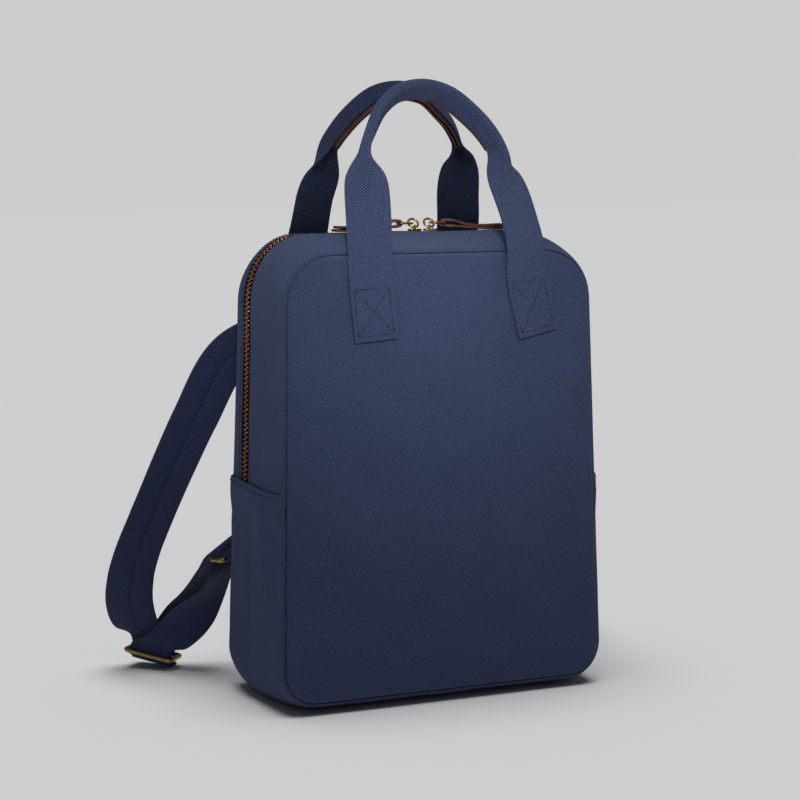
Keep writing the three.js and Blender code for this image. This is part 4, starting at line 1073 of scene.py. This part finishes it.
# %% Sizes of the zip pulls
PULLS_MEET, SLIDER_LENGTH, SLIDER_WIDTH, SLIDER, SLIDERS_APART = 16, 11, 9, 1.7, 3
BRIDGE_RADIUS, BRIDGE_WIRE = 3.2, 1.5
RING_RADIUS, RING_WIRE, RING_FORWARD, RING_LEAN = 4.5, 2, 0.5, 38
LINK_LENGTH, LINK_WIDTH, LINK_WIRE, LINK_CORNER = 13.5, 12, 1.7, 1.6
PULL_LENGTH, PULL_WIDTH, PULL_LEATHER, PULL_NARROWS = 60, 13, 2.2, 8
BASE = SEAM_TOP + CROWN_TOP - 0.4 + GAP  # a slider's underside
SINK = 0.4  # how deep the bridge's ends go into the slider
NARROW_END = 0.68
LINK_HALF_LONG = (LINK_LENGTH - LINK_WIRE) / 2
LINK_HALF_WIDE = (LINK_WIDTH - LINK_WIRE) / 2


def slider_middle(side):
    return PULLS_MEET + side * (SLIDER_LENGTH + SLIDERS_APART) / 2


print("sliders at", slider_middle(-1), "and", slider_middle(1))


# %% Slider, ring and link
def build_slider(word, side):
    middle = slider_middle(side)
    bm = bmesh.new()
    place = Matrix.Translation(Vector((middle, ZIP_BACK, BASE + SLIDER / 2)) * MM)
    size = Matrix.Diagonal((SLIDER_LENGTH * MM, SLIDER_WIDTH * MM, SLIDER * MM, 1))
    bmesh.ops.create_cube(bm, size=1, matrix=place @ size)
    # The end where the two halves of the chain part is the wide one.
    for vertex in bm.verts:
        if (vertex.co.x / MM - middle) * side < 0:
            vertex.co.y = mix(ZIP_BACK * MM, vertex.co.y, NARROW_END)
    upright = [e for e in bm.edges if abs(e.verts[0].co.z - e.verts[1].co.z) > SLIDER / 2 * MM]
    bmesh.ops.bevel(bm, geom=upright, offset=1.8 * MM, affect="EDGES", segments=4, profile=0.5,
                    material=-1)
    bmesh.ops.bevel(bm, geom=bm.edges[:], offset=0.25 * MM, affect="EDGES", segments=2,
                    profile=0.5, material=-1)
    keep(bm, f"slider_plate_{word}", brass, f"slider_{word}")
    arch = [Vector((middle, ZIP_BACK + BRIDGE_RADIUS * math.cos(t),
                    BASE + SLIDER - SINK + BRIDGE_RADIUS * math.sin(t)))
            for t in np.linspace(0, math.pi, 17)]
    wire(f"slider_bridge_{word}", arch, BRIDGE_WIRE, False)


def build_ring_and_link(word, side):
    ring_x = slider_middle(side) + side * RING_FORWARD
    foot = BASE + SLIDER + BRIDGE_RADIUS - BRIDGE_WIRE / 2 - RING_WIRE / 2 - GAP / 2
    # The ring doesn't stand up: it leans back on its bridge.
    lean = Vector((0, math.sin(math.radians(RING_LEAN)), math.cos(math.radians(RING_LEAN))))
    ring = Vector((ring_x, ZIP_BACK, foot)) + lean * RING_RADIUS
    wire(f"pull_ring_wire_{word}", circle(ring, RING_RADIUS, X, lean), RING_WIRE, True,
         f"pull_ring_{word}")
    near = RING_RADIUS - RING_WIRE / 2 - LINK_WIRE / 2 - GAP
    link = Vector((ring_x + side * (near + LINK_HALF_LONG), ring.y, ring.z))
    loop = rounded_loop(link, X, Y, LINK_HALF_LONG, LINK_HALF_WIDE, LINK_CORNER)
    wire(f"pull_link_wire_{word}", loop, LINK_WIRE, True, f"pull_link_{word}")
    return link


# %% Leather of the pulls
def build_pull(word, side):
    build_slider(word, side)
    link = build_ring_and_link(word, side)
    loop = LINK_WIRE / 2 + GAP + PULL_LEATHER / 2
    eye = link.x + side * LINK_HALF_LONG
    rest = BASE + PULL_LEATHER / 2 + GAP - link.z
    # Share of the pull's length from the link, and height over the link.
    upper = [(0.97, rest + PULL_LEATHER * 1.2), (0.6, rest + PULL_LEATHER * 1.05),
             (0.3, mix(loop, rest + PULL_LEATHER * 1.1, 0.7)), (0.1, loop * 0.9), (0, loop)]
    bow = [(loop / PULL_LENGTH * math.cos(a), loop * math.sin(a))
           for a in (math.radians(d) for d in (135, 180, 225))]
    lower = [(0, -loop), (0.12, -loop * 1.25), (0.35, mix(-loop, rest, 0.6)), (0.65, rest),
             (1, rest)]
    route = [(eye + side * share * PULL_LENGTH, link.y, link.z + up)
             for share, up in upper + bow + lower]
    narrow = 2 * (LINK_HALF_WIDE - LINK_CORNER)
    rows = []
    for px, py, pz in route:
        wide = mix(narrow, PULL_WIDTH, smoothstep((abs(px - eye) - loop) / PULL_NARROWS))
        rows.append((px, py, pz, 0, 1, 0, 1, wide))
    rows = smooth_rows(rows, 1.6)
    points = strip_rows(rows, (-0.5, -0.42, -0.2, 0.2, 0.42, 0.5))
    piece = keep(cloth_grid(points), f"pull_strip_{word}", leather,
                 f"pull_leather_{word}")
    thicken(piece, PULL_LEATHER, 0)


build_pull("left", -1)
build_pull("right", 1)

# %% [markdown]
# ## Shoulder straps
# Each strap is sewn high on the back, hangs out to the side, and ends in a sliding buckle, the
# tri-glide. A second, thinner length of webbing runs from the buckle through a ring low on the
# back and returns, which is how the strap gets longer and shorter.

# %% Directions of buckle and ring
WIRE = 4
GLIDE = Vector((-187, 154, 13.2))
GLIDE_HALF_DEPTH, GLIDE_LENGTH = 12, 44
GLIDE_TURN, GLIDE_TILT = 44, 10


def across_strap(droop, swing):
    """A direction that droops below the horizontal and swings round towards the front."""
    droop, swing = math.radians(droop), math.radians(swing)
    return (math.cos(droop) * math.cos(swing), -math.cos(droop) * math.sin(swing),
            -math.sin(droop))


GLIDE_ALONG = Vector(across_strap(GLIDE_TILT, GLIDE_TURN))
GLIDE_OUT = GLIDE_ALONG.cross(Z).normalized()
GLIDE_UP = GLIDE_OUT.cross(GLIDE_ALONG).normalized()
RING_ALONG = Vector((0.81, 0.48, 0.34)).normalized()
RING_IN = Vector((0.5, -0.86, 0.03))
RING_IN = (RING_IN - RING_ALONG * RING_IN.dot(RING_ALONG)).normalized()
RING_UP = RING_ALONG.cross(RING_IN).normalized()
RING_BAR = Vector((-138.4, 96, 114.5))
RING_LENGTH, RING_DEPTH, SLACK = 44, 13, 14
STRAP_WIDTH, STRAP = 42, 2.6


def at_glide(along, out, up):
    return GLIDE + GLIDE_ALONG * along + GLIDE_OUT * out + GLIDE_UP * up


print("buckle lies along", [round(part, 2) for part in GLIDE_ALONG])

# %% [markdown]
# ## The strap's way
# A hanging strap could be simulated, but this one is stiff and the photograph shows the one shape
# it has. So a table follows it from its sewn end to the buckle, where it goes round the middle bar.

# %% Strap route
STRAP_FOOT_X, STRAP_FOOT_Z, STRAP_SLANT, STRAP_DROOP = -20, 352, 37, 37
STRAP_REACH, STRAP_BACK = 211, 88
CREASE_DEPTH, SEWN_CREASE, CREASE_ENDS = 0.9, 0.3, 0.3
# Out as a share of the reach, back as a share of the depth behind the panel, up as a share of the
# sewn end's height, droop and swing across in degrees, and how firmly the buckle holds it.
STRAP_ROUTE = [
    (0.225, 0.13, 0.94, 50, 0, 0), (0.31, 0.155, 0.91, 56, 0, 0), (0.436, 0.22, 0.87, 54, 0, 0),
    (0.631, 0.34, 0.814, 38, 0, 0), (0.781, 0.43, 0.656, 21, 0, 0),
    (0.849, 0.525, 0.553, 16, -3, 0), (0.908, 0.625, 0.454, 12, -5, 0),
    (0.948, 0.716, 0.379, 8, -3, 0), (0.977, 0.798, 0.318, 5, 0, 0),
    (0.998, 0.894, 0.241, 4, 6, 0), (0.991, 0.973, 0.169, 6, 18, 0),
    (0.95, 1.02, 0.108, 8, 34, 0.6)]


# Along, out and up from the buckle's middle.
STRAP_AT_GLIDE = [(-4, 3.1, 13), (0, 4.2, 5), (0, 4.6, -2), (0, 2.4, -6.6), (0, -1.4, -8.2),
                  (0, -14, -8.2)]


def strap_rows():
    rows = []
    slant = math.radians(STRAP_SLANT)
    for along in (0, 12):
        x, z = STRAP_FOOT_X - along * math.sin(slant), STRAP_FOOT_Z - along * math.cos(slant)
        out = half_depth(z) + puff(0, z, PUFF_BACK) + 3 * GAP + STRAP / 2
        rows.append((x, out, z, *across_strap(STRAP_DROOP, 0), 0, STRAP_WIDTH, SEWN_CREASE))
    for across, back, up, droop, swing, held in STRAP_ROUTE:
        z = up * STRAP_FOOT_Z
        crease = 1 if up > CREASE_ENDS else 0
        rows.append((-across * STRAP_REACH, half_depth(z) + back * STRAP_BACK, z,
                     *across_strap(droop, swing), held, STRAP_WIDTH, crease))
    for place in STRAP_AT_GLIDE:
        rows.append((*at_glide(*place), *GLIDE_ALONG, 1, WEBBING_WIDTH, 0))
    return smooth_rows(rows, 3.5)


def both_sides(points, name, node, material, thickness):
    """Builds a piece on the left and its mirror image on the right."""
    for word, side in (("left", 1), ("right", -1)):
        rows = [[(p[0] * side, p[1], p[2]) for p in row] for row in points]
        piece = keep(cloth_grid(rows, mid_zero=True), f"{name}_{word}", material,
                     f"{node}_{word}")
        thicken(piece, thickness, 0)


STRAP_PLACES = [-0.5, -0.47, -0.36, -0.22, -0.12, -0.06, -0.025, 0,
                0.025, 0.06, 0.12, 0.22, 0.36, 0.47, 0.5]
both_sides(strip_rows(strap_rows(), STRAP_PLACES, CREASE_DEPTH), "strap_herringbone",
           "shoulder_strap", strap_webbing, STRAP)

# %% [markdown]
# ## The lower webbing
# The thinner webbing is one band: it starts at the near slot of the buckle, runs to the ring, turns
# round its bar and comes back on top of itself. Both layers sag, each by its own table.

# %% Lower webbing
# Share of the way from the buckle to the ring, then sideways and back in parts of the slack.
NEAR_LAYER = [(0.14, -0.06, -0.95), (0.33, 0.49, -0.98), (0.59, 0.74, -0.86), (0.8, 0.48, -0.68)]
FAR_LAYER = [(0.86, -0.1, 0.61), (0.65, 0.31, 0.84), (0.44, 0.78, 0.83), (0.23, 0.86, 0.81),
             (0.11, 0.6, 0.66)]


def layer_row(along, side, back):
    """A row of the free part, which twists from the buckle's direction to the ring's."""
    place = GLIDE.lerp(RING_BAR, along) + Vector((side, back, 0)) * SLACK
    across = GLIDE_ALONG.lerp(RING_ALONG, smoothstep(along * 1.15))
    held = max(0, 1 - 2.2 * min(along, 1 - along))
    return (*place, *across, held, WEBBING_WIDTH)


def slot_row(out, up):
    return (*at_glide(0, out, up), *GLIDE_ALONG, 1, WEBBING_WIDTH)


def round_bar(bar, radius, angles, width=WEBBING_WIDTH):
    rows = []
    for degrees in angles:
        a = math.radians(degrees)
        place = bar + RING_UP * radius * math.cos(a) + RING_IN * radius * math.sin(a)
        rows.append((*place, *RING_ALONG, 1, width))
    return rows


ROUND_WIRE = WIRE / 2 + GAP + WEBBING / 2  # radius of webbing that goes round a rod
near_slot = GLIDE_HALF_DEPTH - ROUND_WIRE
rows = [slot_row(near_slot, -4), slot_row(near_slot, 0), slot_row(near_slot - 0.4, 5)]
rows += [layer_row(*row) for row in NEAR_LAYER]
rows += round_bar(RING_BAR, ROUND_WIRE + 0.2, (-15, 30, 75, 120, 165, 205))
rows += [layer_row(*row) for row in FAR_LAYER]
rows += [slot_row(-ROUND_WIRE, 5), slot_row(-ROUND_WIRE, -2)]
both_sides(strip_rows(smooth_rows(rows, 2.5), STRAP_PLACES), "lower_herringbone",
           "lower_webbing", plain_herringbone, WEBBING)

# %% [markdown]
# ## Buckle, ring and tab
# The buckle is a rounded frame of brass rod with a middle bar. The ring is a flat loop of the same
# rod, and a short doubled tab of webbing holds it to the back panel.

# %% Ring tabs
TAB_BAR = RING_BAR + RING_IN * RING_DEPTH
TAB_WIDTH, TAB_HELD, TAB_FOOT_IN, TAB_NECK = 37, 0.5, 22, 5.3
TAB_BESIDE = 115  # how far from the bag's middle the tab lies on the panel
ON_PANEL = Vector((0.91, 0, 0.41))
# Share of the way in to the foot, below the bar, over the panel and where that is measured from
# the bar, and how far its direction across has turned to the panel's.
TAB_ROWS = [(1, 27, 0.4, 27, 1), (0.66, 12.3, 0.8, 12, 1), (0.5, 3, 5.2, 0, 0.75)]


def panel_face(z):
    return half_depth(z) + puff(TAB_BESIDE, z, PUFF_BACK) + GAP + WEBBING


def tab_stem():
    """The middle between the tab's layers, from its foot on the panel to the ring's bar."""
    stem = []
    for share, below, over, measured, flat in TAB_ROWS:
        place = Vector((TAB_BAR.x + TAB_FOOT_IN * share, panel_face(TAB_BAR.z - measured) + over,
                        TAB_BAR.z - below))
        stem.append((place, RING_ALONG.lerp(ON_PANEL, flat)))
    return stem + [(TAB_BAR + RING_IN * TAB_NECK, RING_ALONG)]


def tab_layers():
    """Up from the panel, round the bar and back down."""
    stem = tab_stem()
    half = WEBBING / 2 + 0.03
    under, over = [], []
    for (place, across), way in zip(stem, np.gradient(np.array([p for p, _ in stem]), axis=0)):
        up = across.cross(Vector(way).normalized()).normalized()
        under.append((*(place + up * half), *across, TAB_HELD, TAB_WIDTH))
        over.append((*(place - up * half), *across, TAB_HELD, TAB_WIDTH))
    eye = round_bar(TAB_BAR, ROUND_WIRE, (60, 15, -30, -75, -120, -165, -210, -240), TAB_WIDTH)
    last = Vector(under[-1][:3])
    if (Vector(eye[0][:3]) - last).length > (Vector(eye[-1][:3]) - last).length:
        eye = eye[::-1]
    return smooth_rows(under[:-1] + eye + over[:-1][::-1], 2)


both_sides(strip_rows(tab_layers(), STRAP_PLACES), "tab_herringbone", "ring_tab",
           plain_herringbone, WEBBING)

# %% Buckles and rings
ROD_CORNER, THINNER_BAR = 3, 0.95
for word, side in (("left", 1), ("right", -1)):
    flip = Matrix.Diagonal((side, 1, 1))
    frame_loop = rounded_loop(GLIDE, GLIDE_ALONG, GLIDE_OUT, GLIDE_LENGTH / 2, GLIDE_HALF_DEPTH,
                              ROD_CORNER)
    wire(f"buckle_frame_{word}", [flip @ p for p in frame_loop], WIRE, True, f"tri_glide_{word}")
    bar = [GLIDE + GLIDE_ALONG * d for d in (-GLIDE_LENGTH / 2, 0, GLIDE_LENGTH / 2)]
    wire(f"buckle_bar_{word}", [flip @ p for p in bar], WIRE * THINNER_BAR, False)
    centre = RING_BAR + RING_IN * RING_DEPTH / 2
    loop = rounded_loop(centre, RING_ALONG, RING_IN, RING_LENGTH / 2, RING_DEPTH / 2, ROD_CORNER)
    wire(f"ring_wire_{word}", [flip @ p for p in loop], WIRE, True, f"strap_ring_{word}")
print("buckles", GLIDE_LENGTH, "mm and rings", RING_LENGTH, "mm long")

# %% [markdown]
# ## Stitches
# Sewing is what makes cloth read as cloth. Each stitch is a tiny long bead that lies on the
# surface, and a whole seam of them is one piece. Every line gets a mesh of its own first, because
# adding spheres to a mesh that is already large is slow.


# %% Stitch helper
def stitch_line(bm, points_mm, normals, pitch=3.0, length=2.3, radius=0.38):
    points = np.array([tuple(p) for p in points_mm], float)
    normals = np.array([tuple(n) for n in normals], float)
    travel = travelled(points)
    beads = bmesh.new()

    def read(table, place):
        return Vector([np.interp(place, travel, table[:, k]) for k in range(3)])

    for i in range(int(travel[-1] / pitch)):
        place = (i + 0.5) * pitch
        at, ahead = read(points, place), read(points, place + 0.5)
        out = read(normals, place).normalized()
        along = (ahead - at).normalized()
        out = (out - along * out.dot(along)).normalized()
        turn = Matrix((along, out.cross(along), out)).transposed().to_4x4()
        size = Matrix.Diagonal((length / 2 * MM, radius * MM, radius * MM, 1))
        bmesh.ops.create_uvsphere(beads, u_segments=6, v_segments=4, radius=1,
                                  matrix=Matrix.Translation(at * MM) @ turn @ size)
    line = bpy.data.meshes.new("stitches")
    beads.to_mesh(line)
    beads.free()
    bm.from_mesh(line)
    bpy.data.meshes.remove(line)


def finish_stitches(bm, name):
    bm.loops.layers.uv.new("cloth")
    return keep(bm, name, thread)


# %% [markdown]
# ## Where the bag is stitched
# One row runs along each folded edge beside the zip and one along each hem. Every foot of a handle
# has a box of stitches with a cross in it, which spreads the pull over the panel.

# %% Stitches of zip and hem
STITCH_FROM_ZIP, STITCH_BELOW_HEM, HEM_ENDS = 2.2, 4, 4

bm = bmesh.new()
stations = over_the_top(HEM_HEIGHT)
for side in (-1, 1):
    y = ZIP_BACK + side * (ZIP_OPENING / 2 + STITCH_FROM_ZIP)
    points = [gusset_point(s, y, crown(s, y) + strip_ripple(s, y) + 0.05) for s in stations]
    stitch_line(bm, points, [(s[2], 0, s[3]) for s in stations])
finish_stitches(bm, "zip_stitches")

bm = bmesh.new()
for side in (-1, 1):
    station = side_station(HEM_HEIGHT - STITCH_BELOW_HEM, side)
    reach = half_depth(HEM_HEIGHT) - HEM_ENDS
    points = []
    for y in np.linspace(-reach, reach, 30):
        lift = hem_lift(station[1], half_depth(station[1]) - RIM - abs(y)) + 0.2
        px, py, pz = gusset_point(station, y, crown(station, y) + lift)
        points.append((px, py, pz + hem_dip(y)))
    stitch_line(bm, points, [(station[2], 0, station[3])] * len(points), 3, 2.1)
finish_stitches(bm, "hem_stitches")

# %% Stitches of the handles' feet
BOX_HALF_WIDTH, BOX_UP, BOX_DOWN = 15.5, 3, -1
BOX_AND_CROSS = ((0, 1), (1, 2), (2, 3), (3, 0), (0, 2), (1, 3))

bm = bmesh.new()
for word, side in (("front", -1), ("back", 1)):
    frames = handle_frames_of[word]
    for ends in (frames, frames[::-1]):
        patch = [f for f in ends if f[0].z < PATCH_TOP and f[0].x * ends[0][0].x > 0]
        corners = [(patch[0], -1, BOX_UP), (patch[0], 1, BOX_UP), (patch[-1], 1, BOX_DOWN),
                   (patch[-1], -1, BOX_DOWN)]
        places = []
        for (place, width, ridge, way, _), s, up in corners:
            rising = way if way.z > 0 else -way
            places.append(place + width * s * BOX_HALF_WIDTH + rising * up
                          + ridge * (WEBBING / 2 + 0.05))
        for a, b in BOX_AND_CROSS:
            line = [facing(side, places[a].lerp(places[b], t)) for t in (0, 0.5, 1)]
            stitch_line(bm, line, [facing(side, patch[0][2])] * 3, 2.7, 2.2, 0.45)
finish_stitches(bm, "patch_stitches")
